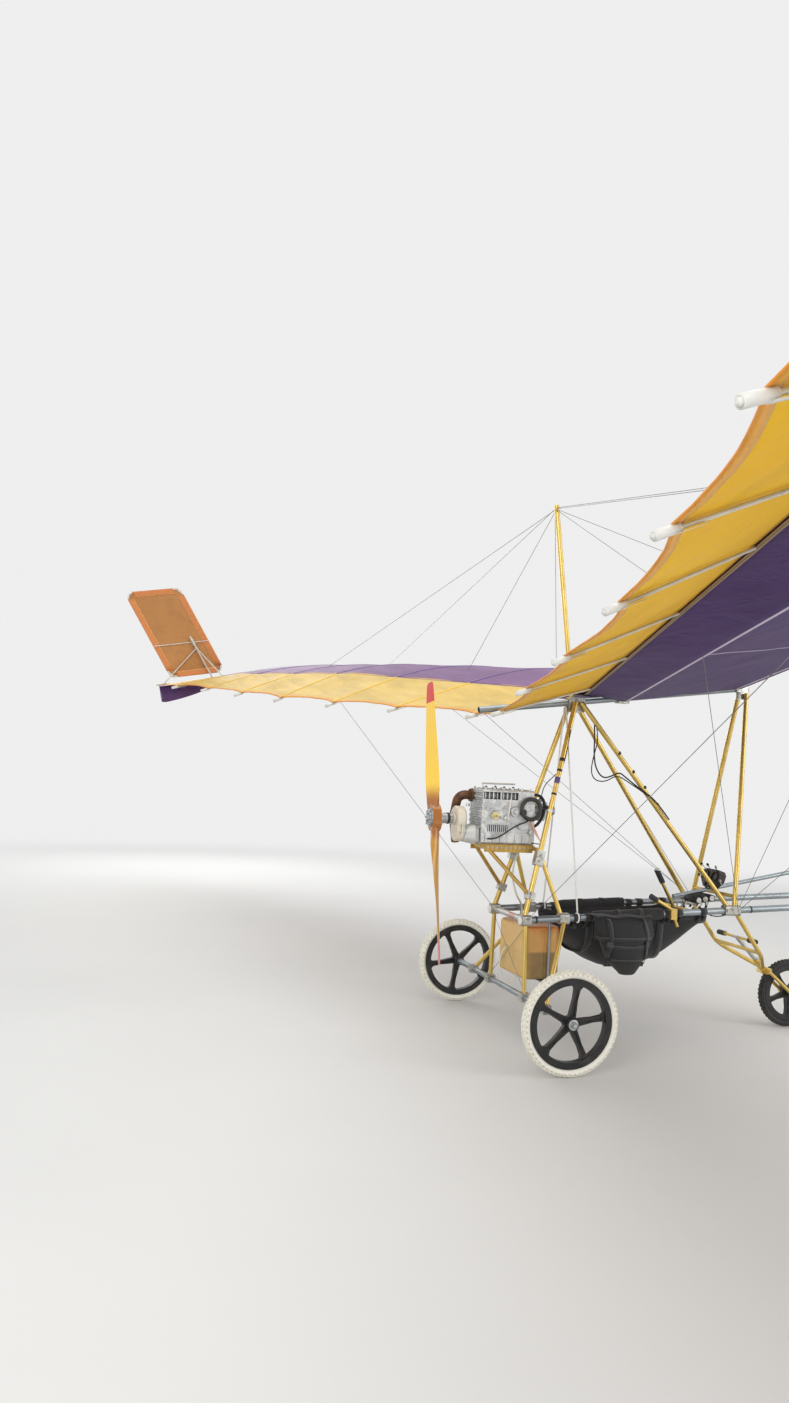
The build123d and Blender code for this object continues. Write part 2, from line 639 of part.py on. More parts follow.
# Reduction gearbox: carries the propeller shaft above the crank
SHAFT_X, SHAFT_Z = PROPELLER_HUB
GEARBOX_REAR = -355.0
GEARBOX_PLATE = 50.0          # thickness of the tall case
CRANK_HEIGHT = 1093.0
BELL_FRONT = ENGINE_REAR - 7 - FIT
SHAFT_DIAMETER = 44.0
with BuildPart() as gearbox:
    with BuildSketch(Plane(origin=at(GEARBOX_REAR, 0, 0), x_dir=(0, 1, 0), z_dir=(1, 0, 0))):
        with Locations((0, SHAFT_Z)):
            Circle(70)
        with Locations((0, CRANK_HEIGHT + 12)):
            Circle(54)
        with Locations((0, (SHAFT_Z + CRANK_HEIGHT + 12) / 2)):
            Rectangle(116, SHAFT_Z - CRANK_HEIGHT - 12)
    extrude(amount=GEARBOX_PLATE)
    chamfer(gearbox.faces().filter_by(Axis.X).edges(), 5)
    with Locations(at(GEARBOX_REAR + GEARBOX_PLATE / 2, 0, (SHAFT_Z + CRANK_HEIGHT) / 2 + 4)):
        Box(6, 132, 96)
    bell_sections = [
        # forward, width, height, corner
        (GEARBOX_REAR + GEARBOX_PLATE - 6, 84.0, 84.0, 30.0),
        (BELL_FRONT - 12, 136.0, 108.0, 34.0),
    ]
    for forward, width, height, corner in bell_sections:
        with BuildSketch(Plane(origin=at(forward, 0, CRANK_HEIGHT), x_dir=(0, 1, 0),
                               z_dir=(1, 0, 0))):
            RectangleRounded(width, height, corner)
    loft()
    with BuildSketch(Plane(origin=at(BELL_FRONT - 13, 0, CRANK_HEIGHT), x_dir=(0, 1, 0),
                           z_dir=(1, 0, 0))):
        RectangleRounded(156, 90, 18)
    extrude(amount=13)
    with Locations(Plane(origin=at(GEARBOX_REAR + 4, 0, SHAFT_Z), z_dir=(-1, 0, 0))):
        Cylinder(34, 16, align=(Align.CENTER, Align.CENTER, Align.MIN))
    clear_rod(at(GEARBOX_REAR - 60, 0, SHAFT_Z), at(GEARBOX_REAR + 40, 0, SHAFT_Z),
              SHAFT_DIAMETER, RUNNING_FIT)
keep("gearbox", gearbox.part)

# Exhaust: a fat elbow from the head's rear end, down beside the gearbox to a short outlet
EXHAUST_DIAMETER = 50.0
with BuildPart() as exhaust:
    with BuildLine() as exhaust_path:
        FilletPolyline(
            at(ENGINE_REAR - 7 - FIT, 56, 1306), at(ENGINE_REAR - 88, 56, 1306),
            at(ENGINE_REAR - 88, 118, 1180), at(ENGINE_REAR - 56, 150, 1040),
            radius=42,
        )
    with BuildSketch(Plane(origin=exhaust_path.line @ 0, z_dir=exhaust_path.line % 0)):
        Circle(EXHAUST_DIAMETER / 2)
    sweep(path=exhaust_path.line)
    add_tube(at(ENGINE_REAR - 7 - FIT, 56, 1306), at(ENGINE_REAR - 20, 56, 1306), 72)
keep("exhaust_pipe", exhaust.part)

# Carburettor and its intake elbow at the front of the head
with BuildPart() as carburettor:
    add_tube(at(ENGINE_FRONT - 7, -10, 1240), at(ENGINE_FRONT + 52, -10, 1240), 42)
    with BuildSketch(Plane(
        origin=at(ENGINE_FRONT + 74, -10, 1190), x_dir=(1, 0, 0), z_dir=(0, 0, 1),
    )):
        RectangleRounded(62, 58, 16)
    extrude(amount=96)
    add_tube(at(ENGINE_FRONT + 74, -10, 1180), at(ENGINE_FRONT + 74, -10, 1192), 44)
    add_tube(at(ENGINE_FRONT + 74, -10, 1284), at(ENGINE_FRONT + 74, -10, 1302), 40)
    add_tube(at(ENGINE_FRONT + 100, -10, 1240), at(ENGINE_FRONT + 150, -10, 1240), 52)
    with Locations(at(ENGINE_FRONT + FIT - 25, -10, 1240)):
        Box(50, 300, 300, mode=Mode.SUBTRACT)
keep("carburettor", carburettor.part)

# Starter on the far side, intake hose and cap on the near side, and the coil rail on the head
STARTER_DIAMETER = 52.0
HOSE_RING = (56.0, 11.0)      # radius of its bend and of the hose
CAP_PLACE = (8.0, 1226.0)
with BuildPart() as engine_ancillaries:
    far_face = BLOCK_HALF_WIDTH + FIT
    add_tube(
        at(ENGINE_REAR + 30, far_face + STARTER_DIAMETER / 2 + 4, 1190),
        at(ENGINE_REAR + 150, far_face + STARTER_DIAMETER / 2 + 4, 1190), STARTER_DIAMETER,
    )
    with Locations(at(ENGINE_REAR + 90, far_face + 12, 1190)):
        Box(70, 24, 38)
    add_tube(at(CAP_PLACE[0], -BLOCK_HALF_WIDTH - 6, CAP_PLACE[1]),
             at(CAP_PLACE[0], -BLOCK_HALF_WIDTH - 22, CAP_PLACE[1]), 38)
    add_tube(at(ENGINE_REAR + 16, -30, HEAD_TOP + 30), at(ENGINE_REAR + 214, -30, HEAD_TOP + 32),
             9)
    for post in (22, 95):
        add_tube(at(ENGINE_REAR + post, -30, HEAD_TOP + FIT),
                 at(ENGINE_REAR + post, -30, HEAD_TOP + 31), 8)
    with Locations(Plane(
        origin=at(ENGINE_FRONT - 30, -ENGINE_HALF_WIDTH - 2 - FIT - HOSE_RING[1], 1246),
        z_dir=(0, 1, 0),
    )):
        Torus(*HOSE_RING)
keep("engine_ancillaries", engine_ancillaries.part)

# Fuel tank: a moulded can between the gear legs, on a cradle hung from the longerons
TANK_REAR = 14.0
TANK_FRONT = 234.0
TANK_HALF_WIDTH = 182.0
TANK_BOTTOM = 330.0
TANK_TOP = 616.0
TANK_MIDDLE = (TANK_REAR + TANK_FRONT) / 2
with BuildPart() as fuel_tank:
    with BuildSketch(Plane.XY.offset(TANK_BOTTOM)):
        with Locations((AXLE_X + TANK_MIDDLE, 0)):
            RectangleRounded(TANK_FRONT - TANK_REAR, 2 * TANK_HALF_WIDTH, 44)
    extrude(amount=TANK_TOP - TANK_BOTTOM)
    fillet(fuel_tank.faces().filter_by(Axis.Z).edges(), 20)
    for side in SIDES.values():
        with Locations(at(TANK_MIDDLE, side * TANK_HALF_WIDTH, (TANK_TOP + TANK_BOTTOM) / 2)):
            Box(22, 10, TANK_TOP - TANK_BOTTOM, mode=Mode.SUBTRACT)
    add_tube(at(TANK_MIDDLE, 110, TANK_TOP - 4), at(TANK_MIDDLE, 110, TANK_TOP + 20), 64)
keep("fuel_tank", fuel_tank.part)

HANGER_Y = TANK_HALF_WIDTH + 8 + FIT
HANGER_DIAMETER = 14.0
HANGER_FORWARD = TANK_MIDDLE + 32
with BuildPart() as tank_cradle:
    for side in SIDES.values():
        top = longeron_height(HANGER_FORWARD)
        add_tube(at(HANGER_FORWARD, side * HANGER_Y, TANK_BOTTOM - 10),
                 at(HANGER_FORWARD, side * HANGER_Y, top), HANGER_DIAMETER)
    with Locations(at(HANGER_FORWARD, 0, TANK_BOTTOM - FIT - 3)):
        Box(96, 2 * HANGER_Y + 20, 6)
    for side in SIDES.values():
        with Locations(at(HANGER_FORWARD, side * (HANGER_Y + 5), top)):
            Box(46, 22, 26)
        clear_rod(
            at(0, side * LONGERON_Y, longeron_height(0)),
            at(400, side * LONGERON_Y, longeron_height(400)), LONGERON_DIAMETER,
        )
keep("tank_cradle", tank_cradle.part)

# Seat: a fabric hammock slung between the longerons, open above
ROPE_DIAMETER = 9.0
TORQUE_FORWARD = 1040.0
TORQUE_HEIGHT = longeron_height(TORQUE_FORWARD)
TORQUE_DIAMETER = 20.0
EYELET_FIT = 2.0
SEAT_REAR = 262.0
SEAT_FRONT = 1140.0
SEAT_HALF_WIDTH = LONGERON_Y - LONGERON_DIAMETER / 2 - ROPE_DIAMETER - 3 * FIT
SEAT_CLOTH = 4.0
SEAT_SIDE = [
    # forward, height, along the underside from the back to the front edge
    (SEAT_REAR, 628.0), (330.0, 520.0), (460.0, 412.0), (600.0, 372.0), (780.0, 392.0),
    (960.0, 490.0), (SEAT_FRONT, 640.0),
]
with BuildPart() as seat:
    with BuildSketch(Plane(origin=at(0, SEAT_HALF_WIDTH, 0), x_dir=(1, 0, 0), z_dir=(0, -1, 0))):
        with BuildLine():
            Polyline(
                *[(forward, height) for forward, height in SEAT_SIDE],
                (SEAT_FRONT, longeron_height(SEAT_FRONT)),
                (SEAT_REAR, longeron_height(SEAT_REAR)), close=True,
            )
        make_face()
    extrude(amount=2 * SEAT_HALF_WIDTH)
    with BuildSketch(Plane(
        origin=at(0, SEAT_HALF_WIDTH - SEAT_CLOTH, 0), x_dir=(1, 0, 0), z_dir=(0, -1, 0),
    )):
        with BuildLine():
            Polyline(
                (SEAT_REAR + SEAT_CLOTH, SEAT_SIDE[0][1] + 2),
                *[(forward, height + SEAT_CLOTH * 1.3) for forward, height in SEAT_SIDE[1:-1]],
                (SEAT_FRONT - SEAT_CLOTH, SEAT_SIDE[-1][1] + 2),
                (SEAT_FRONT - SEAT_CLOTH, 900.0), (SEAT_REAR + SEAT_CLOTH, 900.0), close=True,
            )
        make_face()
    extrude(amount=2 * (SEAT_HALF_WIDTH - SEAT_CLOTH), mode=Mode.SUBTRACT)
    clear_rod(
        at(TORQUE_FORWARD, -LONGERON_Y, TORQUE_HEIGHT),
        at(TORQUE_FORWARD, LONGERON_Y, TORQUE_HEIGHT), TORQUE_DIAMETER, EYELET_FIT,
    )
keep("seat_sling", seat.part)

# Padded rolls laced round the longerons beside the pilot
ROLL_REAR = 400.0
ROLL_FRONT = 830.0
ROLL_DIAMETER = 74.0
with BuildPart() as rolls:
    for side in SIDES.values():
        add_tube(
            at(ROLL_REAR, side * LONGERON_Y, longeron_height(ROLL_REAR)),
            at(ROLL_FRONT, side * LONGERON_Y, longeron_height(ROLL_FRONT)), ROLL_DIAMETER,
        )
        clear_rod(
            at(0, side * LONGERON_Y, longeron_height(0)),
            at(1000, side * LONGERON_Y, longeron_height(1000)), LONGERON_DIAMETER,
        )
    with Locations(at((SEAT_REAR + SEAT_FRONT) / 2, 0, 560.0)):
        Box(2000, 2 * SEAT_HALF_WIDTH + 2 * FIT, 400, mode=Mode.SUBTRACT)
keep("seat_rolls", rolls.part)

# Saddle bag hanging outside the near longeron
BAG_TOP = 688.0
BAG_BOTTOM = 360.0
BAG_INNER_Y = LONGERON_Y + ROLL_DIAMETER / 2 + FIT
BAG_LEVELS = [
    # height, rear end, front end, thickness
    (BAG_BOTTOM, 540.0, 645.0, 50.0),
    (450.0, 445.0, 690.0, 92.0),
    (600.0, 380.0, 735.0, 104.0),
    (BAG_TOP, 372.0, 730.0, 54.0),
]
with BuildPart() as saddle_bag:
    for height, rear, front, thickness in BAG_LEVELS:
        with BuildSketch(Plane(origin=at(0, 0, height), x_dir=(1, 0, 0), z_dir=(0, 0, 1))):
            with Locations(((rear + front) / 2, -BAG_INNER_Y - thickness / 2)):
                RectangleRounded(front - rear, thickness, thickness * 0.3)
    loft(ruled=True)
keep("saddle_bag", saddle_bag.part)

# Control column on its torque tube, and the throttle lever outside the near longeron
with BuildPart() as control_column:
    torque_end = LONGERON_Y - LONGERON_DIAMETER / 2 - FIT
    add_tube(at(TORQUE_FORWARD, -torque_end, TORQUE_HEIGHT),
             at(TORQUE_FORWARD, torque_end, TORQUE_HEIGHT), TORQUE_DIAMETER)
    add_tube(at(TORQUE_FORWARD, 0, TORQUE_HEIGHT), at(948, 0, 868), 20)
    add_tube(at(962, 0, 846), at(918, 0, 924), 32)

with BuildPart() as throttle_lever:
    lever_y = -(LONGERON_Y + LONGERON_DIAMETER / 2 + 11 + FIT)
    with BuildLine() as lever_path:
        FilletPolyline(at(742, lever_y, 796), at(868, lever_y, 730), at(912, lever_y, 632),
                       radius=30)
    with BuildSketch(Plane(origin=lever_path.line @ 0, z_dir=lever_path.line % 0)):
        Circle(9)
    sweep(path=lever_path.line)
    add_tube(at(736, lever_y, 799), at(778, lever_y, 777), 30)
    with Locations(at(884, lever_y, longeron_height(884))):
        Box(38, 22, 60)
with BuildPart() as hand_controls:
    add(control_column.part)
    add(throttle_lever.part)
keep("hand_controls", hand_controls.part)

# Instrument pod: a small panel on the boom, with its dials facing the pilot
POD_FORWARD = 1262.0
POD_TILT = 18.0
DIALS = [(-46.0, 62.0, 30.0), (46.0, 62.0, 30.0), (0.0, 10.0, 24.0)]
POD_BASE = height_on(BOOM_TAIL, BOOM_NOSE, POD_FORWARD) + BOOM_DIAMETER / 2
with BuildPart() as instrument_pod:
    pod_plane = Plane(
        origin=at(POD_FORWARD, 0, POD_BASE + 10), x_dir=(0, -1, 0),
        z_dir=(-cos(radians(POD_TILT)), 0, sin(radians(POD_TILT))),
    )
    with BuildSketch(pod_plane.offset(-46)):
        with BuildLine():
            Polyline((-40, -6), (40, -6), (88, 44), (88, 84), (66, 104), (-66, 104), (-88, 84),
                     (-88, 44), close=True)
        make_face()
    extrude(amount=46)
    for across, rise, radius in DIALS:
        with BuildSketch(pod_plane):
            with Locations((across, rise)):
                Circle(radius)
                Circle(radius - 4, mode=Mode.SUBTRACT)
        extrude(amount=6)
    clear_rod(
        at(BOOM_TAIL[0], 0, BOOM_TAIL[1]), at(BOOM_NOSE[0], 0, BOOM_NOSE[1]), BOOM_DIAMETER,
    )
keep("instrument_pod", instrument_pod.part)

# Canard boom and mast: they carry the canard's hinge tube
HINGE_POINT = at(CANARD_HINGE_FORWARD, 0, CANARD_HINGE_HEIGHT)
MAST_Y = 170.0
BEARING_LENGTH = 34.0
with BuildPart() as canard_mast:
    add_tube(
        at(BOOM_TAIL[0], 0, BOOM_TAIL[1]), HINGE_POINT, BOOM_DIAMETER,
    )
    for side in SIDES.values():
        add_tube(
            cabane_foot(LONGERON_NOSE_FORWARD - 30, side),
            at(CANARD_HINGE_FORWARD, side * MAST_Y, CANARD_HINGE_HEIGHT), STRUT_DIAMETER,
        )
    for bearing_y in (-MAST_Y, 0, MAST_Y):
        add_tube(
            at(CANARD_HINGE_FORWARD, bearing_y - BEARING_LENGTH / 2, CANARD_HINGE_HEIGHT),
            at(CANARD_HINGE_FORWARD, bearing_y + BEARING_LENGTH / 2, CANARD_HINGE_HEIGHT),
            CANARD_TUBE + 14,
        )
    clear_rod(
        at(CANARD_HINGE_FORWARD, -300, CANARD_HINGE_HEIGHT),
        at(CANARD_HINGE_FORWARD, 300, CANARD_HINGE_HEIGHT), CANARD_TUBE, RUNNING_FIT,
    )
    clear_saddles()
    with Locations(at(BOOM_REST, 0, BOOM_REST_HEIGHT)):
        Cylinder(STRUT_DIAMETER / 2 + FIT, 400, rotation=(90, 0, 0), mode=Mode.SUBTRACT)
keep("canard_mast", canard_mast.part)

# Canard: a hinge tube on four lugs, and two fabric-covered halves behind and ahead of it
CANARD_RISE = CANARD_DEPTH / 2 + 22
CANARD_LEADING = CANARD_HINGE_FORWARD + CANARD_HINGE_CHORD
LUG_SPANS = [240.0, 620.0]
with BuildPart() as canard_tube:
    add_tube(
        at(CANARD_HINGE_FORWARD, -LUG_SPANS[-1] - 30, CANARD_HINGE_HEIGHT),
        at(CANARD_HINGE_FORWARD, LUG_SPANS[-1] + 30, CANARD_HINGE_HEIGHT), CANARD_TUBE,
    )
with BuildPart() as canard_lugs:
    for span in LUG_SPANS:
        for side in SIDES.values():
            with Locations(at(CANARD_HINGE_FORWARD, side * span,
                              CANARD_HINGE_HEIGHT + CANARD_RISE / 2 - 6)):
                Box(34, 14, CANARD_RISE + 20)
    clear_rod(
        at(CANARD_HINGE_FORWARD, -CANARD_HALF_SPAN, CANARD_HINGE_HEIGHT),
        at(CANARD_HINGE_FORWARD, CANARD_HALF_SPAN, CANARD_HINGE_HEIGHT), CANARD_TUBE,
    )
with BuildPart() as canard_frame:
    add(canard_tube.part)
    add(canard_lugs.part)
keep("canard_frame", canard_frame.part)


def canard_section():
    """Side-view outline of the canard: round nose, arched top, thin tail."""
    base = CANARD_HINGE_HEIGHT + CANARD_RISE
    nose = (CANARD_LEADING, base + 8)
    tail = (CANARD_LEADING - CANARD_CHORD, base + 4)
    crest = (CANARD_LEADING - CANARD_CHORD * 0.34, base + CANARD_DEPTH)
    ThreePointArc(tail, crest, nose)
    belly = (CANARD_LEADING - CANARD_CHORD * 0.5, base)
    ThreePointArc(nose, belly, tail)


with BuildPart() as canard_skin:
    for span in (-CANARD_HALF_SPAN, CANARD_HALF_SPAN):
        with BuildSketch(Plane(origin=at(0, span, 0), x_dir=(1, 0, 0), z_dir=(0, -1, 0))):
            with BuildLine():
                canard_section()
            make_face()
    loft(ruled=True)
    for span in LUG_SPANS:
        for side in SIDES.values():
            clear_box(at(CANARD_HINGE_FORWARD, side * span,
                         CANARD_HINGE_HEIGHT + CANARD_RISE / 2 - 6), 34, 14, CANARD_RISE + 20)
keep("canard_skin", canard_skin.part)

# Kingpost and its stays
def sail_top(span, forward):
    """Height of the upper skin's outside, near enough for a stay's aim."""
    nose_x, nose_z = spar_at(FRONT_SPAR, span)
    seam_x, seam_z = seam_at(span)
    share = (nose_x - forward) / (nose_x - seam_x)
    arch = station_at(span)[1]
    lift = SPAR_DIAMETER / 2 + SKIN
    return blend(nose_z + lift, seam_z + SEAM_SLOT + lift / 2, share) + 4 * arch * share * (1 - share)


TANG_DROP = 18.0
TANG_PITCH = 6.0
KINGPOST_FOOT = at(KINGPOST_FORWARD, 0, keel_height(KINGPOST_FORWARD))
KINGPOST_HEAD = at(KINGPOST_TOP[0], 0, KINGPOST_TOP[1])
with BuildPart() as kingpost:
    add_tube(KINGPOST_FOOT, KINGPOST_HEAD, CABANE_DIAMETER)
    with Locations(KINGPOST_FOOT + Vector(0, 0, KEEL_DIAMETER / 2 + 2)):
        Box(60, KEEL_DIAMETER, 12)
    clear_rod(at(KEEL_TAIL[0], 0, KEEL_TAIL[1]), at(KEEL_NOSE[0], 0, KEEL_NOSE[1]),
              KEEL_DIAMETER)
    with Locations(KINGPOST_HEAD + Vector(0, 0, -TANG_DROP - TANG_PITCH * 1.5)):
        Box(10, CABANE_DIAMETER + 4, TANG_PITCH * 5)
keep("kingpost", kingpost.part)


def sail_section(span, offset=0.0):
    """Closed outline of the two-skin front of the sail, or of the room it fills plus an offset."""
    arch = station_at(span)[1]
    nose_x, nose_z = spar_at(FRONT_SPAR, span)
    rear_x, rear_z = spar_at(REAR_SPAR, span)
    seam_x, seam_z = seam_at(span)
    inner = SPAR_DIAMETER / 2 + SLEEVE_FIT
    outer = inner + SKIN + offset
    top = seam_z + SEAM_SLOT + 2 * SKIN + offset

    def upper(radius, drop):
        """Ends and middle of the upper skin's arc."""
        start = (nose_x, nose_z + radius)
        end = (seam_x, top - drop)
        middle = ((start[0] + end[0]) / 2, (start[1] + end[1]) / 2 + arch)
        return start, middle, end

    start, middle, end = upper(outer, 0)
    ThreePointArc(end, middle, start)
    ThreePointArc(start, (nose_x + outer, nose_z), (nose_x, nose_z - outer))
    Line((nose_x, nose_z - outer), (rear_x, rear_z - outer))
    Line((rear_x, rear_z - outer), (seam_x, seam_z - offset))
    if offset:
        Line((seam_x, seam_z - offset), end)
        return
    Line((seam_x, seam_z), (seam_x, seam_z + SKIN))
    Line((seam_x, seam_z + SKIN), (rear_x, rear_z - inner))
    Line((rear_x, rear_z - inner), (nose_x, nose_z - inner))
    start, middle, end = upper(inner, SKIN)
    ThreePointArc((nose_x, nose_z - inner), (nose_x + inner, nose_z), start)
    ThreePointArc(start, middle, end)
    Line(end, (seam_x, end[1] + SKIN))


def sail_plane(span):
    """The upright plane at a distance to port."""
    return Plane(origin=at(0, span, 0), x_dir=(1, 0, 0), z_dir=(0, -1, 0))


# The room the port wing fills, which stays and posts must end on
with BuildPart() as wing_room:
    for station in WING_STATIONS:
        with BuildSketch(sail_plane(station[0])):
            with BuildLine():
                sail_section(station[0], FIT)
            make_face()
    loft(ruled=True)

UPPER_STAYS = [
    # span, share of the chord from front spar to seam
    (3900.0, 0.02), (3300.0, 0.78), (1550.0, 0.02), (1500.0, 0.72),
]
with BuildPart() as upper_port:
    for number, (span, share) in enumerate(UPPER_STAYS):
        nose_x = spar_at(FRONT_SPAR, span)[0]
        seam_x = seam_at(span)[0]
        forward = blend(nose_x, seam_x, share)
        foot = at(forward, span, sail_top(span, forward) - 24)
        head = KINGPOST_HEAD + Vector(0, CABANE_DIAMETER / 2 + 3.6,
                                      -TANG_DROP - TANG_PITCH * number)
        add_tube(head, foot, STAY_DIAMETER)
    add(wing_room.part, mode=Mode.SUBTRACT)

LOWER_STAYS = [
    # start forward, start outboard, start height, span, spar
    (LONGERON_NODE[0] + 4, LONGERON_Y + SADDLE_WIDTH / 2 + 3, 736.0, 1500.0, REAR_SPAR),
    (LONGERON_NODE[0] + 12, LONGERON_Y + SADDLE_WIDTH / 2 + 3, 742.0, 1550.0, FRONT_SPAR),
    (LONGERON_NODE[0] + 22, LONGERON_Y + SADDLE_WIDTH / 2 + 3, 734.0, 3500.0, FRONT_SPAR),
    (LONGERON_TAIL[0] + 14, LONGERON_Y + SADDLE_WIDTH / 2 + 3, 662.0, 3300.0, REAR_SPAR),
]
with BuildPart() as lower_port:
    for forward, outboard, height, span, spar in LOWER_STAYS:
        spar_x, spar_z = spar_at(spar, span)
        add_tube(at(forward, outboard, height), at(spar_x, span, spar_z - 10), STAY_DIAMETER)
    add(wing_room.part, mode=Mode.SUBTRACT)
with BuildPart() as rigging_wires:
    add(upper_port.part)
    add(lower_port.part)
    mirror(upper_port.part, about=Plane.XZ)
    mirror(lower_port.part, about=Plane.XZ)
keep("rigging_wires", rigging_wires.part)

# Seat ropes: from the keel to the longerons
ROPE_FORWARD = 306.0
with BuildPart() as rope_port:
    add_tube(
        at(ROPE_FORWARD - 18, 10,
           keel_height(ROPE_FORWARD - 18) - KEEL_DIAMETER / 2 - ROPE_DIAMETER / 2 - FIT),
        at(ROPE_FORWARD, LONGERON_Y,
           longeron_height(ROPE_FORWARD) + LONGERON_DIAMETER / 2 + FIT + ROPE_DIAMETER),
        ROPE_DIAMETER,
    )
with BuildPart() as knot_port:
    with Locations(Plane(origin=cabane_foot(ROPE_FORWARD, 1), z_dir=(1, 0, 0))):
        Torus(LONGERON_DIAMETER / 2 + FIT + ROPE_DIAMETER / 2, ROPE_DIAMETER / 2)
with BuildPart() as seat_ropes:
    add(rope_port.part)
    add(knot_port.part)
    mirror(rope_port.part, about=Plane.XZ)
    mirror(knot_port.part, about=Plane.XZ)
keep("seat_ropes", seat_ropes.part)

# Port wing: sail front in two skins
with BuildPart() as sail_front:
    for station in WING_STATIONS:
        with BuildSketch(sail_plane(station[0])):
            with BuildLine():
                sail_section(station[0])
            make_face()
    loft(ruled=True)


# Port wing: rear panel in one skin, scalloped between the battens
def panel_top(span):
    """Ends of the rear panel's upper side in side view."""
    seam_x, seam_z = seam_at(span)
    tail_x, tail_z = tail_at(span)
    return (seam_x - FIT, seam_z + SEAM_SLOT + 2 * SKIN), (tail_x, tail_z + SKIN)


with BuildPart() as sail_rear:
    for station in WING_STATIONS:
        (seam_x, seam_z), (tail_x, tail_z) = panel_top(station[0])
        with BuildSketch(sail_plane(station[0])):
            with BuildLine():
                Polyline((seam_x, seam_z), (tail_x, tail_z), (tail_x, tail_z - SKIN),
                         (seam_x, seam_z - SKIN), close=True)
            make_face()
    loft(ruled=True)
    edges = [ROOT_GAP, *BATTEN_SPANS, HALF_SPAN]
    for inner, outer in zip(edges, edges[1:]):
        depth = SCALLOP * min(1.0, (outer - inner) / 800.0)
        inner_x, outer_x = tail_at(inner)[0], tail_at(outer)[0]
        with BuildSketch(Plane(origin=at(0, 0, 1500), x_dir=(1, 0, 0), z_dir=(0, 0, 1))):
            with BuildLine():
                ThreePointArc(
                    (inner_x, inner), ((inner_x + outer_x) / 2 + depth, (inner + outer) / 2),
                    (outer_x, outer),
                )
                Polyline((outer_x, outer), (outer_x - 90, outer), (inner_x - 90, inner),
                         (inner_x, inner))
            make_face()
        extrude(amount=1000, mode=Mode.SUBTRACT)

# Port wing: spars, battens, tip tube and the rudder's post with its struts
POST_Y = HALF_SPAN - RUDDER_TUBE / 2 - RUDDER_POST_DIAMETER / 2 - 10
TIP_Y = HALF_SPAN + FIT + TIP_TUBE / 2
POST_FOOT_SPAN = RUDDER_FOOT + 76
POST_TOP_SPAN = 66.0


TIP_NOSE, TIP_TAIL = FRONT_SPAR[1], tail_at(HALF_SPAN)
TIP_LINE = (
    at(TIP_NOSE[0] + 10, TIP_Y, TIP_NOSE[1]), at(TIP_TAIL[0] - 30, TIP_Y, TIP_TAIL[1] - 2),
)


def post_point(above):
    """Point on the rudder post's centre line, above the pivot along the rake."""
    forward = RUDDER_PIVOT[0] - above * RAKE_RUN
    return at(forward, POST_Y, RUDDER_PIVOT[1] + above * RAKE_RISE)


with BuildPart() as spars:
    for spar in (FRONT_SPAR, REAR_SPAR):
        root_span = ROOT_GAP + SPAR_DIAMETER * 0.16
        (root_x, root_z), (tip_x, tip_z) = spar_at(spar, root_span), spar_at(spar, HALF_SPAN)
        add_tube(at(root_x, root_span, root_z), at(tip_x, HALF_SPAN, tip_z), SPAR_DIAMETER,
                 SPAR_DIAMETER - 2 * SPAR_WALL)
    clear_rod(*TIP_LINE, TIP_TUBE)

with BuildPart() as battens:
    for span in BATTEN_SPANS:
        (seam_x, seam_z), (tail_x, tail_z) = panel_top(span)
        slope = atan2(seam_z - tail_z, seam_x - tail_x)
        drop = (SKIN + 3 * FIT + BATTEN_CAP_DIAMETER / 2) / cos(slope)
        end_x = tail_x - BATTEN_OVERHANG * cos(slope)
        end_z = tail_z - BATTEN_OVERHANG * sin(slope) - drop
        start = at(seam_x - 6, span, seam_z - 6 * tan(slope) - drop)
        end = at(end_x, span, end_z)
        add_tube(start, end, BATTEN_DIAMETER)
        cap = (end - start).normalized() * 62
        add_tube(end - cap, end + cap * 0.1, BATTEN_CAP_DIAMETER)

PLATE_REAR_DROP = 168.0
FOOT_SLOPE = atan2(
    panel_top(HALF_SPAN)[0][1] - tail_at(HALF_SPAN)[1],
    panel_top(HALF_SPAN)[0][0] - tail_at(HALF_SPAN)[0],
)
with BuildPart() as tip_frame:
    add_tube(*TIP_LINE, TIP_TUBE)
    for spar in (FRONT_SPAR, REAR_SPAR):
        (plug_x, plug_z), (spar_x, spar_z) = spar_at(spar, HALF_SPAN - 60), spar_at(spar, TIP_Y)
        add_tube(at(plug_x, HALF_SPAN - 60, plug_z), at(spar_x, TIP_Y, spar_z),
                 SPAR_DIAMETER - 2 * SPAR_WALL - 2 * FIT)
    foot_x, foot_z = blend(TIP_TAIL, panel_top(HALF_SPAN)[0], 0.14)
    with Locations(at(foot_x, (POST_Y - 14 + TIP_Y) / 2, foot_z + SKIN + FIT + 2)):
        Box(36, TIP_Y - POST_Y + 14, 3, rotation=(0, degrees(-FOOT_SLOPE), 0))

with BuildPart() as rudder_post:
    add_tube(post_point(-POST_FOOT_SPAN), post_point(POST_TOP_SPAN), RUDDER_POST_DIAMETER)
    add(wing_room.part, mode=Mode.SUBTRACT)

with BuildPart() as rudder_braces:
    add_tube(post_point(BRACE_COLLAR), post_point(BRACE_COLLAR + 30), RUDDER_POST_DIAMETER + 12)
    clear_rod(post_point(BRACE_COLLAR - 20), post_point(0), RUDDER_POST_DIAMETER)

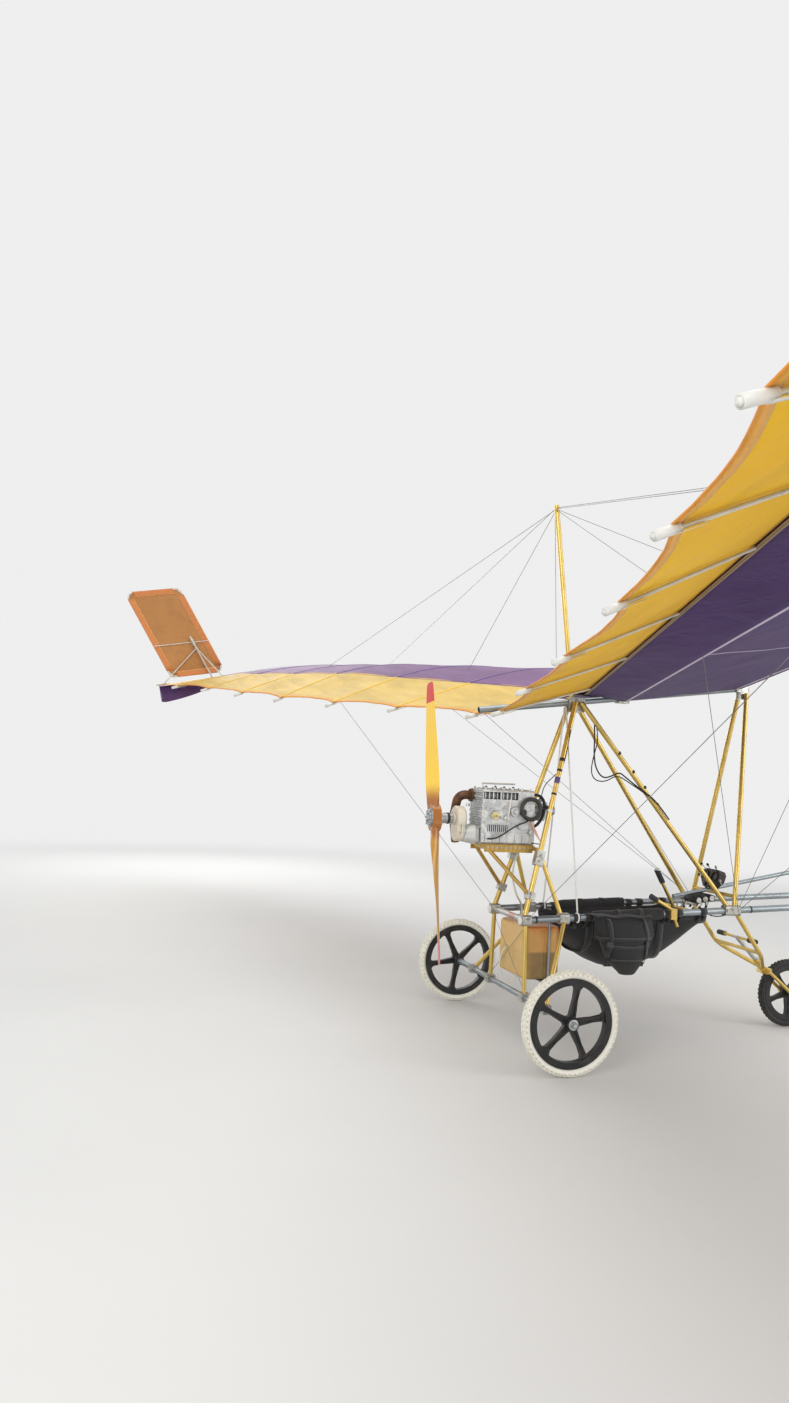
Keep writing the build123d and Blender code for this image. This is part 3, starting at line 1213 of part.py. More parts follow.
with BuildPart() as brace_tubes:
    add_tube(post_point(BRACE_COLLAR + 15), at(foot_x, POST_Y, foot_z + SKIN + FIT + 8), 12)
    brace_span = 4600.0
    (seam_x, seam_z), _ = panel_top(brace_span)
    add_tube(post_point(BRACE_COLLAR + 15), at(seam_x + 20, brace_span, seam_z + 6), 12)
    clear_rod(post_point(BRACE_COLLAR - FIT), post_point(BRACE_COLLAR + 30 + FIT),
              RUDDER_POST_DIAMETER + 12)
    add(wing_room.part, mode=Mode.SUBTRACT)

with BuildPart() as wing_frame:
    add(spars.part)
    add(battens.part)
    add(tip_frame.part)
    add(rudder_post.part)
    add(rudder_braces.part)
    add(brace_tubes.part)

# Port wing: the purple plate that closes the tip below its tube
with BuildPart() as tip_plate:
    tail_x, tail_z = TIP_TAIL
    plate_nose = tail_x + 640
    line_height = height_on(TIP_TAIL, TIP_NOSE, plate_nose)
    with BuildSketch(sail_plane(TIP_Y + 1.5)):
        with BuildLine():
            Polyline(
                (tail_x + 4, tail_z), (plate_nose, line_height),
                (plate_nose, line_height - 24), (tail_x + 78, tail_z - PLATE_REAR_DROP),
                (tail_x + 40, tail_z - PLATE_REAR_DROP + 4), close=True,
            )
        make_face()
    extrude(amount=3)
    clear_rod(*TIP_LINE, TIP_TUBE)

with BuildPart() as sail:
    add(sail_front.part)
    add(tip_plate.part)

# Port tip rudder: a bent tube outline, a cross tube with two collars, and its fabric
OUTLINE = [
    rudder_point(-RUDDER_BALANCE, -RUDDER_FOOT), rudder_point(RUDDER_REAR, -RUDDER_FOOT),
    rudder_point(RUDDER_REAR, RUDDER_TOP), rudder_point(-RUDDER_BALANCE, RUDDER_TOP),
]
def add_hoop(front, front_corner, rear_corner, rear):
    """Adds half of the rudder's bent outline tube, from the middle of one side to the other."""
    with BuildLine(sail_plane(HALF_SPAN)) as path:
        FilletPolyline(front, front_corner, rear_corner, rear, radius=RUDDER_CORNER)
    with BuildSketch(Plane(origin=path.line @ 0, z_dir=path.line % 0)) as ring:
        Circle(RUDDER_TUBE / 2)
    sweep(ring.sketch, path=path.line)


with BuildPart() as rudder_frame:
    bottom_front, bottom_rear, top_rear, top_front = OUTLINE
    middle_front, middle_rear = rudder_point(-RUDDER_BALANCE, 0), rudder_point(RUDDER_REAR, 0)
    add_hoop(middle_front, top_front, top_rear, middle_rear)
    add_hoop(middle_front, bottom_front, bottom_rear, middle_rear)
    cross_y = HALF_SPAN - CROSS_TUBE / 2 - 4
    (front_x, front_z), (rear_x, rear_z) = middle_front, middle_rear
    add_tube(at(front_x, cross_y, front_z), at(rear_x, cross_y, rear_z), CROSS_TUBE)

# Port tip rudder: the hinge bracket, two collars on a plate that clasps the cross tube
RUDDER_AXIS = Vector(-RAKE_RUN, 0, RAKE_RISE)
COLLAR_LENGTH = 20.0
with BuildPart() as rudder_hinge:
    for above in HINGE_COLLARS:
        with Locations(Plane(origin=post_point(above), z_dir=RUDDER_AXIS)):
            Cylinder(RUDDER_POST_DIAMETER / 2 + 6, COLLAR_LENGTH)
        with Locations(Plane(origin=post_point(above), x_dir=(0, 1, 0), z_dir=RUDDER_AXIS)):
            Box(cross_y - POST_Y + 2, 12, COLLAR_LENGTH - 4,
                align=(Align.MIN, Align.CENTER, Align.CENTER))
    with Locations(Plane(
        origin=post_point(0) + Vector(0, cross_y - POST_Y, 0), x_dir=(0, 1, 0),
        z_dir=RUDDER_AXIS,
    )):
        Box(CROSS_TUBE + 2, 26, HINGE_COLLARS[1] - HINGE_COLLARS[0] + COLLAR_LENGTH - 8)
    clear_rod(at(front_x, cross_y, front_z), at(rear_x, cross_y, rear_z), CROSS_TUBE)
    clear_rod(post_point(-POST_FOOT_SPAN), post_point(POST_TOP_SPAN + 20), RUDDER_POST_DIAMETER,
              RUNNING_FIT)
with BuildPart() as rudder_hoop:
    add(rudder_frame.part)
    add(rudder_hinge.part)

with BuildPart() as rudder_skin:
    with BuildSketch(sail_plane(HALF_SPAN + 1)) as skin_outline:
        with BuildLine():
            FilletPolyline(*OUTLINE, radius=RUDDER_CORNER, close=True)
        make_face()
        offset(amount=-(RUDDER_TUBE / 2 + FIT), mode=Mode.REPLACE)
    extrude(amount=2)

PORT_PIECES = {
    "sail": sail, "sail_rear": sail_rear, "wing_frame": wing_frame,
    "rudder_frame": rudder_hoop, "rudder_skin": rudder_skin,
}
for name, piece in PORT_PIECES.items():
    keep(f"{name}_left", piece.part)
    with BuildPart() as starboard:
        mirror(piece.part, about=Plane.XZ)
    keep(f"{name}_right", starboard.part)

# Nose gear frame: bent legs from the front nodes to the steering head, with a cross tube
RAKE_X = cos(radians(STEERING_RAKE))
RAKE_Z = sin(radians(STEERING_RAKE))
STEM_DIAMETER = 25.0
HEAD_DIAMETER = 38.0
CROWN_START = NOSE_WHEEL_RADIUS + 9
CROWN_THICKNESS = 8.0
HEAD_START = CROWN_START + CROWN_THICKNESS + 1
HEAD_LENGTH = 72.0


def steering_point(above):
    """Point on the steering axis, measured up it from the level of the nose axle."""
    foot_x = NOSE_AXLE_FORWARD - FORK_OFFSET * RAKE_Z
    foot_z = NOSE_WHEEL_RADIUS - FORK_OFFSET * RAKE_X
    return at(foot_x - above * RAKE_X, 0, foot_z + above * RAKE_Z)


LEG_BEND = (1490.0, 464.0)
LEG_DIAMETER = 25.0
with BuildPart() as nose_legs:
    junction = steering_point(HEAD_START + 20)
    for side in SIDES.values():
        with BuildLine() as leg_path:
            FilletPolyline(
                cabane_foot(LONGERON_NODE[0], side),
                at(LEG_BEND[0], side * LONGERON_Y, LEG_BEND[1]),
                junction + Vector(0, side * 6, 0), radius=110,
            )
        with BuildSketch(Plane(origin=leg_path.line @ 0, z_dir=leg_path.line % 0)):
            Circle(LEG_DIAMETER / 2)
        sweep(path=leg_path.line)
    add_tube(at(LEG_BEND[0] - 10, LONGERON_Y - 6, LEG_BEND[1] + 14),
             at(LEG_BEND[0] - 10, -LONGERON_Y + 6, LEG_BEND[1] + 14), STRUT_DIAMETER - 2)
    add_tube(steering_point(HEAD_START), steering_point(HEAD_START + HEAD_LENGTH), HEAD_DIAMETER)
    clear_rod(steering_point(0), steering_point(HEAD_START + HEAD_LENGTH + 200), STEM_DIAMETER,
              RUNNING_FIT)
    clear_saddles()
keep("nose_legs", nose_legs.part)

# Nose fork: crown, two blades, axle pin, stem and the foot bar that steers it
BLADE_Y = 46.0
TOW_PEG = (12.0, 32.0)    # where the tow pegs start and end, outside the blades' centre lines
TOW_PEG_DIAMETER = 16.0
FOOT_BAR = 494.0
NOSE_HUB_HALF = 34.0
with BuildPart() as nose_fork:
    crown_plane = Plane(
        origin=steering_point(CROWN_START), x_dir=(0, 1, 0), z_dir=(-RAKE_X, 0, RAKE_Z),
    )
    with BuildSketch(crown_plane):
        RectangleRounded(2 * BLADE_Y + 26, 44, 14)
    extrude(amount=CROWN_THICKNESS)
    for side in SIDES.values():
        crown_end = steering_point(CROWN_START + 4) + Vector(0, side * BLADE_Y, 0)
        pin_end = at(NOSE_AXLE_FORWARD, side * BLADE_Y, NOSE_WHEEL_RADIUS)
        add_tube(crown_end, pin_end, 22)
        with Locations(pin_end):
            Cylinder(15, 18, rotation=(90, 0, 0))
    add_tube(
        at(NOSE_AXLE_FORWARD, -BLADE_Y - TOW_PEG[1], NOSE_WHEEL_RADIUS),
        at(NOSE_AXLE_FORWARD, BLADE_Y + TOW_PEG[1], NOSE_WHEEL_RADIUS), NOSE_PIN_DIAMETER,
    )
    for side in SIDES.values():
        add_tube(
            at(NOSE_AXLE_FORWARD, side * (BLADE_Y + TOW_PEG[0]), NOSE_WHEEL_RADIUS),
            at(NOSE_AXLE_FORWARD, side * (BLADE_Y + TOW_PEG[1]), NOSE_WHEEL_RADIUS),
            TOW_PEG_DIAMETER,
        )
    add_tube(steering_point(CROWN_START + 2), steering_point(FOOT_BAR), STEM_DIAMETER)
    add_tube(
        steering_point(HEAD_START + HEAD_LENGTH + 1),
        steering_point(HEAD_START + HEAD_LENGTH + 15), HEAD_DIAMETER,
    )
    bar = steering_point(FOOT_BAR)
    add_tube(bar + Vector(0, -118, 0), bar + Vector(0, 118, 0), 16)
    for side in SIDES.values():
        add_tube(bar + Vector(0, side * 116, 0), bar + Vector(0, side * 182, 0), 30)
keep("nose_fork", nose_fork.part)


# Wheels: moulded five-spoke discs and their tyres
BEAD_SHARE = 0.28     # half the rim's width between flanges, to the tyre's width
FLANGE = 5.0
SPOKES = 5
RIM_BAND = 28.0
GROOVE = 5.0          # depth of the channel in each face of a spoke


def wheel_plane(centre):
    """Half-section plane of a wheel: across the tyre, then outward."""
    return Plane(origin=centre, x_dir=(0, 1, 0), z_dir=(1, 0, 0))


def add_tyre(centre, radius, width, rim):
    """Adds a tyre: a round crown on beads that sit on the rim."""
    half = width / 2
    belly = radius - half * 1.02
    bead = width * BEAD_SHARE - FIT
    lip = rim + FLANGE + 1
    with BuildSketch(wheel_plane(centre)) as ring:
        with BuildLine():
            ThreePointArc((-half, belly), (0, radius), (half, belly))
            Polyline((half, belly), (bead, lip), (bead, rim + FIT), (-bead, rim + FIT),
                     (-bead, lip), (-half, belly))
        make_face()
    revolve(ring.sketch, axis=Axis(centre, (0, 1, 0)))


def add_wheel(centre, rim, width, hub_radius, hub_half, bore, turn):
    """Adds a moulded wheel: rim, five waisted spokes and a hub bored for its axle."""
    seat = width * BEAD_SHARE
    half = seat + 3
    with BuildSketch(wheel_plane(centre)) as ring:
        Polygon(
            (-half, rim - RIM_BAND), (half, rim - RIM_BAND), (half, rim + FLANGE),
            (seat, rim + FLANGE),
            (seat, rim), (-seat, rim), (-seat, rim + FLANGE), (-half, rim + FLANGE),
            align=None,
        )
    revolve(ring.sketch, axis=Axis(centre, (0, 1, 0)))
    with Locations(Plane(origin=centre, z_dir=(0, 1, 0))):
        Cylinder(hub_radius, 2 * hub_half)
    spoke_plane = Plane(origin=centre - Vector(0, half * 0.62, 0), x_dir=(1, 0, 0),
                        z_dir=(0, 1, 0))
    with BuildSketch(spoke_plane) as spokes:
        with PolarLocations(0, SPOKES, start_angle=turn):
            Polygon(
                (hub_radius - 4, -19), (rim * 0.55, -12), (rim * 0.78, -15),
                (rim - RIM_BAND + 8, -34), (rim - RIM_BAND + 8, 34), (rim * 0.78, 15),
                (rim * 0.55, 12), (hub_radius - 4, 19),
                align=None,
            )
    extrude(spokes.sketch, amount=2 * half * 0.62)
    with BuildSketch(spoke_plane) as grooves:
        with PolarLocations(0, SPOKES, start_angle=turn):
            Polygon(
                (hub_radius + 6, -8), (rim * 0.55, -5), (rim * 0.78, -8), (rim * 0.78, 8),
                (rim * 0.55, 5), (hub_radius + 6, 8), align=None,
            )
    for start in (0, 2 * half * 0.62 - GROOVE):
        extrude(grooves.sketch.moved(Location((0, start, 0))), amount=GROOVE, mode=Mode.SUBTRACT)
    clear_rod(centre - Vector(0, 100, 0), centre + Vector(0, 100, 0), bore, RUNNING_FIT)


MAIN_RIM = WHEEL_RADIUS - 44
NOSE_RIM = NOSE_WHEEL_RADIUS - 40
PARKED_TURN = {"left": 100.0, "right": 136.0, "nose": 90.0}     # how each wheel came to rest
for name, side in SIDES.items():
    centre = at(0, side * HALF_TRACK, WHEEL_RADIUS)
    with BuildPart() as tyre:
        add_tyre(centre, WHEEL_RADIUS, TYRE_WIDTH, MAIN_RIM)
    keep(f"main_tyre_{name}", tyre.part)
    with BuildPart() as wheel:
        add_wheel(centre, MAIN_RIM, TYRE_WIDTH, 30.0, HUB_HALF, STUB_DIAMETER, PARKED_TURN[name])
    keep(f"main_wheel_{name}", wheel.part)

nose_centre = at(NOSE_AXLE_FORWARD, 0, NOSE_WHEEL_RADIUS)
with BuildPart() as nose_tyre:
    add_tyre(nose_centre, NOSE_WHEEL_RADIUS, NOSE_TYRE_WIDTH, NOSE_RIM)
keep("nose_tyre", nose_tyre.part)
with BuildPart() as nose_wheel:
    add_wheel(nose_centre, NOSE_RIM, NOSE_TYRE_WIDTH, 24.0, NOSE_HUB_HALF, NOSE_PIN_DIAMETER,
              PARKED_TURN["nose"])
keep("nose_wheel", nose_wheel.part)

# Propeller: two laminated wooden blades and a hub block between crush plates
HUB_CENTRE = at(SHAFT_X, 0, SHAFT_Z)
BLADE_STATIONS = [
    # radius, chord, thickness, pitch angle
    (54.0, 84.0, 44.0, 14.0),
    (92.0, 76.0, 40.0, 34.0),
    (150.0, 84.0, 29.0, 44.0),
    (230.0, 93.0, 23.0, 37.0),
    (330.0, 97.0, 18.0, 29.0),
    (450.0, 94.0, 14.0, 23.0),
    (570.0, 88.0, 11.5, 18.5),
    (700.0, 77.0, 8.5, 15.0),
    (765.0, 66.0, 7.0, 13.0),
    (PROPELLER_RADIUS, 50.0, 6.0, 12.0),
]


def blade_section(chord, thickness):
    """Blade outline about its middle: nearly flat face, arched back."""
    edge = -thickness * 0.4
    ThreePointArc((-chord / 2, edge), (-chord * 0.08, thickness * 0.55), (chord / 2, edge))
    ThreePointArc((chord / 2, edge), (0, -thickness * 0.5), (-chord / 2, edge))


with BuildPart() as propeller:
    tilt = radians(PROPELLER_TILT)
    for turn in (1, -1):
        reach = Vector(0, turn * sin(tilt), turn * cos(tilt))
        across = Vector(0, turn * cos(tilt), -turn * sin(tilt))
        with BuildPart(mode=Mode.PRIVATE) as blade:
            for radius, chord, thickness, pitch in BLADE_STATIONS:
                lean = radians(pitch)
                chord_line = Vector(1, 0, 0) * sin(lean) - across * cos(lean)
                with BuildSketch(Plane(
                    origin=HUB_CENTRE + reach * radius, x_dir=chord_line, z_dir=reach,
                )):
                    with BuildLine():
                        blade_section(chord, thickness)
                    make_face()
            loft(ruled=True)
        add(blade.part)
    with BuildSketch(Plane(
        origin=HUB_CENTRE - Vector(HUB_THICKNESS / 2, 0, 0), x_dir=(0, cos(tilt), -sin(tilt)),
        z_dir=(1, 0, 0),
    )):
        RectangleRounded(100, 148, 49)
    extrude(amount=HUB_THICKNESS)
    clear_rod(HUB_CENTRE - Vector(60, 0, 0), HUB_CENTRE + Vector(60, 0, 0), 26)
keep("propeller", propeller.part)

# Propeller hub: crush plates, bolts and the shaft flange
HUB_BOLTS = 6
with BuildPart() as prop_hub:
    half = HUB_THICKNESS / 2 + FIT
    for start, end, diameter in [
        (-half - 6, -half, HUB_PLATE_DIAMETER), (half, half + 8, HUB_PLATE_DIAMETER),
        (half + 8, GEARBOX_REAR - 12 - 1 - SHAFT_X, 58.0), (-half - 14, half, 26.0 - 2 * FIT),
        (half, GEARBOX_REAR + 36 - SHAFT_X, SHAFT_DIAMETER),
    ]:
        add_tube(HUB_CENTRE + Vector(start, 0, 0), HUB_CENTRE + Vector(end, 0, 0), diameter)
    with Locations(Plane(origin=HUB_CENTRE - Vector(half + 6, 0, 0), z_dir=(-1, 0, 0))):
        with PolarLocations(38, HUB_BOLTS):
            Cylinder(6.5, 8, align=(Align.CENTER, Align.CENTER, Align.MIN))
keep("prop_hub", prop_hub.part)

os.makedirs("parts", exist_ok=True)
for name, piece in pieces.items():
    export_step(piece, f"parts/{name}.step")
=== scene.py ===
import math

import bmesh
import bpy
from mathutils import Matrix, Vector, noise
from mathutils.bvhtree import BVHTree


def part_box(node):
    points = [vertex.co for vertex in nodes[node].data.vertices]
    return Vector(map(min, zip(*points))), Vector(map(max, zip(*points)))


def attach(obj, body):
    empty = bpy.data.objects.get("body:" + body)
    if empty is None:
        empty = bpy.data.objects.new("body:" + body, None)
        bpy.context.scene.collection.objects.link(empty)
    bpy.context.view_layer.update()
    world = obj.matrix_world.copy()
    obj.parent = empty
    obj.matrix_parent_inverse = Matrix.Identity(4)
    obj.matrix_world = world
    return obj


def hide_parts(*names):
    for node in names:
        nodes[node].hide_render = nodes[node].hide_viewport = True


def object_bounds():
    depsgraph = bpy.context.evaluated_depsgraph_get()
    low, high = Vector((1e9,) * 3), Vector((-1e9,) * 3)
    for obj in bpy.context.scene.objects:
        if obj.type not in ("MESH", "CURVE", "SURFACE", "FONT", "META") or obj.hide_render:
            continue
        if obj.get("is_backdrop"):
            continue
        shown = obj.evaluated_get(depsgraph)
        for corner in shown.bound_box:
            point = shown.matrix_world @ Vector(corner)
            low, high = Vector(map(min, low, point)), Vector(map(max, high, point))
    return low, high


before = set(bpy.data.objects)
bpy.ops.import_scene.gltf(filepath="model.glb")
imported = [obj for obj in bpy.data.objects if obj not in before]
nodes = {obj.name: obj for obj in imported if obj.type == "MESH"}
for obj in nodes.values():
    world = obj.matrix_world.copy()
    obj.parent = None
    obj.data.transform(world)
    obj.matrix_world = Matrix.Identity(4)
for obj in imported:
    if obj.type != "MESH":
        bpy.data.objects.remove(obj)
cad_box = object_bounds()

# Camera. It stands behind and to starboard of the aircraft, at eye height, and leans a little
# to one side. Places on the aircraft are given forward of the main axle, to port and up.
AXLE_X = sum(corner.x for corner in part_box("main_axle")) / 2
AXLE_UP = 0.254            # the main wheels' radius too
LONGERON_SIDE = 0.216
SIDES = (("left", 1), ("right", -1))
PICTURE_HEIGHT, SENSOR, FOCAL_PIXELS = 1403, 36, 1010.5
CAMERA_YAW, CAMERA_PITCH, CAMERA_ROLL = (math.radians(a) for a in (73.41, 3.68, 3.02))


def at(forward, left, up):
    """A point given forward of the main axle, to port of the centre line and above the floor."""
    return Vector((AXLE_X + forward, left, up))


def link(name, data):
    """A new object for some data, in the scene."""
    thing = bpy.data.objects.new(name, data)
    bpy.context.scene.collection.objects.link(thing)
    return thing


camera_data = bpy.data.cameras.new("camera")
camera = link("camera", camera_data)
bpy.context.scene.camera = camera
camera.matrix_world = (
    Matrix.Translation(at(-2.302, -5.262, 1.442))
    @ Matrix.Rotation(CAMERA_YAW - math.pi / 2, 4, "Z")
    @ Matrix.Rotation(CAMERA_PITCH + math.pi / 2, 4, "X")
    @ Matrix.Rotation(CAMERA_ROLL, 4, "Z")
)
camera_data.sensor_width = SENSOR
camera_data.lens = SENSOR * FOCAL_PIXELS / PICTURE_HEIGHT
camera_data.clip_end = 200

# Making pieces. Each piece starts as a primitive or a grid of points and is shaped by modifiers.


def take_up(piece):
    """Leaves one piece selected and active."""
    bpy.ops.object.select_all(action="DESELECT")
    piece.select_set(True)
    bpy.context.view_layer.objects.active = piece


def solid(name, shape, **sizes):
    """A primitive of that shape, the only thing selected."""
    bpy.ops.object.select_all(action="DESELECT")
    getattr(bpy.ops.mesh, f"primitive_{shape}_add")(**sizes)
    bpy.context.object.name = name
    return bpy.context.object


def settle(piece):
    """Applies a piece's modifiers and leaves nothing selected."""
    take_up(piece)
    for modifier in list(piece.modifiers):
        bpy.ops.object.modifier_apply(modifier=modifier.name)
    piece.select_set(False)
    return piece


def modify(piece, kind, **settings):
    """Shapes a piece with one modifier."""
    modifier = piece.modifiers.new(kind.lower(), kind)
    for name, value in settings.items():
        setattr(modifier, name, value)
    return settle(piece)


def ease_edges(piece, width, segments):
    """Bevels a piece's sharp edges."""
    return modify(piece, "BEVEL", width=width, segments=segments, limit_method="ANGLE")


def smooth_by_angle(piece, degrees):
    """Shades a piece smooth but for edges sharper than the angle."""
    take_up(piece)
    bpy.ops.object.shade_smooth_by_angle(angle=math.radians(degrees))
    piece.select_set(False)


def facing(place, way, axis="Z", up="Y"):
    """The move that carries a shape from the origin to a place, with its axis that way."""
    return Matrix.Translation(place) @ Vector(way).to_track_quat(axis, up).to_matrix().to_4x4()


def place_of(spot):
    """A Vector as it is, or three plain numbers given forward, left and up."""
    return spot if isinstance(spot, Vector) else at(*spot)


def curve_past(name, kind, points, radius, roundness):
    """A round line of that kind past its points, with its spline."""
    curve = bpy.data.curves.new(name, "CURVE")
    curve.dimensions, curve.resolution_u = "3D", 10
    curve.bevel_depth, curve.bevel_resolution, curve.use_fill_caps = radius, roundness, True
    spline = curve.splines.new(kind)
    spline.points.add(len(points) - 1)
    for place, point in zip(spline.points, points):
        place.co = (*point, 1)
    return link(name, curve), spline


# Finishes. Colours are given as they look on a screen, 0 to 255, and every finish is a shader
# with its constants and the nodes that vary it over a surface.


def tint(red, green, blue):
    """A colour as the shader takes it."""
    levels = [c / 255 for c in (red, green, blue)]
    return [c / 12.92 if c < 0.04045 else ((c + 0.055) / 1.055) ** 2.4 for c in levels] + [1]


def darker(colour, share):
    return [c * share for c in tint(*colour)[:3]] + [1]


def maths(operation, swapped=False):
    """A method of Value that adds one Math node."""
    def method(self, *others):
        terms = (*others, self) if swapped else (self, *others)
        return self.owner.node("ShaderNodeMath", {"operation": operation}, dict(enumerate(terms)))
    return method


class Value:
    """One socket of a node tree. Arithmetic on it adds Math nodes to that tree."""

    __add__, __radd__ = maths("ADD"), maths("ADD", True)
    __sub__, __rsub__ = maths("SUBTRACT"), maths("SUBTRACT", True)
    __mul__, __pow__ = maths("MULTIPLY"), maths("POWER")
    most, least = maths("MAXIMUM"), maths("MINIMUM")
    size, part = maths("ABSOLUTE"), maths("FRACT")

    def __init__(self, owner, socket):
        self.owner, self.socket = owner, socket

    def wave(self):
        """Swings between 0 and 1 as the value grows by one."""
        return maths("SINE")(self * math.tau) * 0.5 + 0.5

    def between(self, low, high):
        """A soft step from 0 at low to 1 at high."""
        return self.owner.node(
            "ShaderNodeMapRange", {"interpolation_type": "SMOOTHSTEP"},
            {"Value": self, "From Min": low, "From Max": high},
        )


class Nodes:
    """A node tree that is being built."""

    def __init__(self, tree):
        self.tree = tree

    def join(self, value, socket):
        if isinstance(value, Value):
            self.tree.links.new(value.socket, socket)
        else:
            colour = socket.type == "RGBA" and len(value) == 3
            socket.default_value = tint(*value) if colour else value

    def node(self, kind, settings=None, sockets=None, output=0):
        """Adds a node of any kind, with its settings, then its sockets' values or links."""
        node = self.tree.nodes.new(kind)
        for name, value in (settings or {}).items():
            setattr(node, name, value)
        for socket, value in (sockets or {}).items():
            self.join(value, node.inputs[socket])
        return Value(self, node.outputs[output])


class Finish(Nodes):
    """One finish, with what varies over a surface."""

    def __init__(self, name, **constants):
        self.material = bpy.data.materials.new(name)
        self.material.use_nodes = True
        super().__init__(self.material.node_tree)
        self.shader = self.tree.nodes["Principled BSDF"]
        self.paint(**constants)

    def paint(self, **inputs):
        """Gives the shader's sockets, named in small letters, their values or links."""
        for words, value in inputs.items():
            name = words.replace("_", " ")
            self.join(value, next(s for s in self.shader.inputs if s.name.lower() == name))
        return self

    def place(self, stretch=(1, 1, 1), move=(0, 0, 0), turn=(0, 0, 0)):
        """Object coordinates, stretched, moved and turned."""
        return self.node(
            "ShaderNodeMapping", None,
            {"Vector": self.node("ShaderNodeTexCoord", output="Object"),
             "Location": move, "Rotation": turn, "Scale": stretch},
        )

    def axis(self, letter, vector=None):
        """One coordinate of a vector, or of the object's own coordinates."""
        split = {"Vector": vector or self.place()}
        return self.node("ShaderNodeSeparateXYZ", None, split, "XYZ".index(letter))

    def along(self, letter):
        """The piece's own map: U runs one way over it and V the other, in metres."""
        uv = self.node("ShaderNodeUVMap", {"uv_map": "cloth"})
        return self.node("ShaderNodeSeparateXYZ", None, {"Vector": uv}, "UV".index(letter))

    def noise(self, scale, detail=3, vector=None, roughness=0.5, bend=0):
        return self.node(
            "ShaderNodeTexNoise", None,
            {"Vector": vector or self.place(), "Scale": scale, "Detail": detail,
             "Roughness": roughness, "Distortion": bend},
        )

    def hollow(self, reach):
        """How shut in a place is within a reach, 0 to 1."""
        return 1 - self.node("ShaderNodeAmbientOcclusion", {"samples": 8, "only_local": True},
                             {"Distance": reach}, 1)

    def mix(self, first, second, share):
        """A colour between two others."""
        return self.node(
            "ShaderNodeMix", {"data_type": "RGBA"}, {0: share, 6: first, 7: second}, 2,
        )

    def coats(self, colour, *layers):
        """A colour with others laid over it, each given with its share."""
        for over, share in layers:
            colour = self.mix(colour, over, share)
        return colour

    def mottle(self, first, second, scale, detail, most=1):
        """Two colours in blotches, with up to a share of the second."""
        share = self.noise(scale, detail)
        return self.mix(first, second, share * most if most < 1 else share)

    def bump(self, height, depth):
        """The normal of a surface whose height in metres varies by up to depth."""
        return self.node(
            "ShaderNodeBump", None, {"Strength": 1.0, "Distance": depth, "Height": height}
        )

    def cover(self, *pieces):
        """Puts the finish on CAD nodes, by name, or on new pieces."""
        for piece in pieces:
            piece = nodes[piece] if isinstance(piece, str) else piece
            piece.data.materials.clear()
            piece.data.materials.append(self.material)


# Stage. A pale floor that takes the aircraft's shadow, an even pale surround, and soft lamps
# low enough to reach under the wing.
bpy.context.scene.view_settings.view_transform = "Standard"
floor = solid("studio_floor", "plane", size=60)
floor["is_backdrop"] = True
floor_paint = Finish("studio_floor", roughness=0.9, specular_ior_level=0.1)
floor_paint.paint(base_color=floor_paint.mottle((222, 222, 220), (230, 230, 228), 0.8, 3))
BACKDROP, SURROUND = 0.86, 0.62
glow = floor_paint.node("ShaderNodeEmission", None, {"Strength": BACKDROP})
place = floor_paint.place()
away = (floor_paint.axis("X", place) ** 2 + floor_paint.axis("Y", place) ** 2) ** 0.5
top_light_colour = floor_paint.node("ShaderNodeMixShader", None, {0: away.between(5.5, 13), 2: glow})
floor_paint.tree.links.new(floor_paint.shader.outputs[0], top_light_colour.socket.node.inputs[1])
floor_paint.join(top_light_colour, floor_paint.tree.nodes["Material Output"].inputs["Surface"])
floor_paint.cover(floor)

world = bpy.data.worlds.new("studio")
bpy.context.scene.world = world
world.use_nodes = True
sky = Nodes(world.node_tree)
ray = sky.tree.nodes.new("ShaderNodeLightPath")
seen, mirrored, through = (
    Value(sky, ray.outputs[f"Is {kind} Ray"]) for kind in ("Camera", "Glossy", "Transmission"))
strength = sky.node("ShaderNodeMapRange", None, {
    "Value": seen.most(mirrored.most(through)), "To Min": SURROUND, "To Max": BACKDROP})
backdrop = sky.tree.nodes["Background"]
backdrop.inputs["Color"].default_value = (1, 1, 1, 1)
sky.join(strength, backdrop.inputs["Strength"])

for name, place, aim, size, power in (
    ("lamp_behind", at(-6.5, -8.0, 4.2), at(0.3, 0, 1.1), 5.0, 330),
    ("lamp_ahead", at(7.5, -6.0, 3.4), at(0.8, 0, 1.0), 5.0, 210),
    ("lamp_port", at(-1.0, 9.5, 4.0), at(0.3, 0, 1.2), 5.0, 210),
    ("lamp_above", at(0.5, -1.0, 8.5), at(0.5, 0, 0.0), 7.0, 230),
):
    lamp_data = bpy.data.lights.new(name, "AREA")
    lamp_data.shape, lamp_data.size, lamp_data.energy = "DISK", size, power
    link(name, lamp_data).matrix_world = facing(place, aim - place, "-Z")

# Tubes, brackets and plated parts. Aluminium anodised grey or gold and drawn through a die, so
# fine lines run along it; machined blocks are worn in more places, darker where worn.


def anodised(name, colour, worn, along=(1, 1, 1), wear=0.6):
    """Satin anodised aluminium, with blotches, fine lines along one way and worn places."""
    finish = Finish(name, metallic=0.82)
    lines = finish.noise(60, 2, finish.place(along))
    blotches = finish.noise(9, 4, bend=0.4)
    scuffs = finish.noise(34, 6, roughness=0.7).between(wear, wear + 0.12)
    body = finish.mix(
        colour, darker(colour, 0.72), blotches.between(0.35, 0.75) * 0.7 + lines * 0.25)
    return finish.paint(
        base_color=finish.mix(body, worn, scuffs * 0.7),
        roughness=lines * 0.12 + blotches * 0.12 + scuffs * 0.1 + 0.24,
        normal=finish.bump(lines + scuffs * 0.4, 0.0002),
    )


def old_gold(finish):
    """The gold of the tubes where a second finish shares the piece."""
    return finish.mottle(GOLD, (190, 160, 86), 9, 4, 0.8)


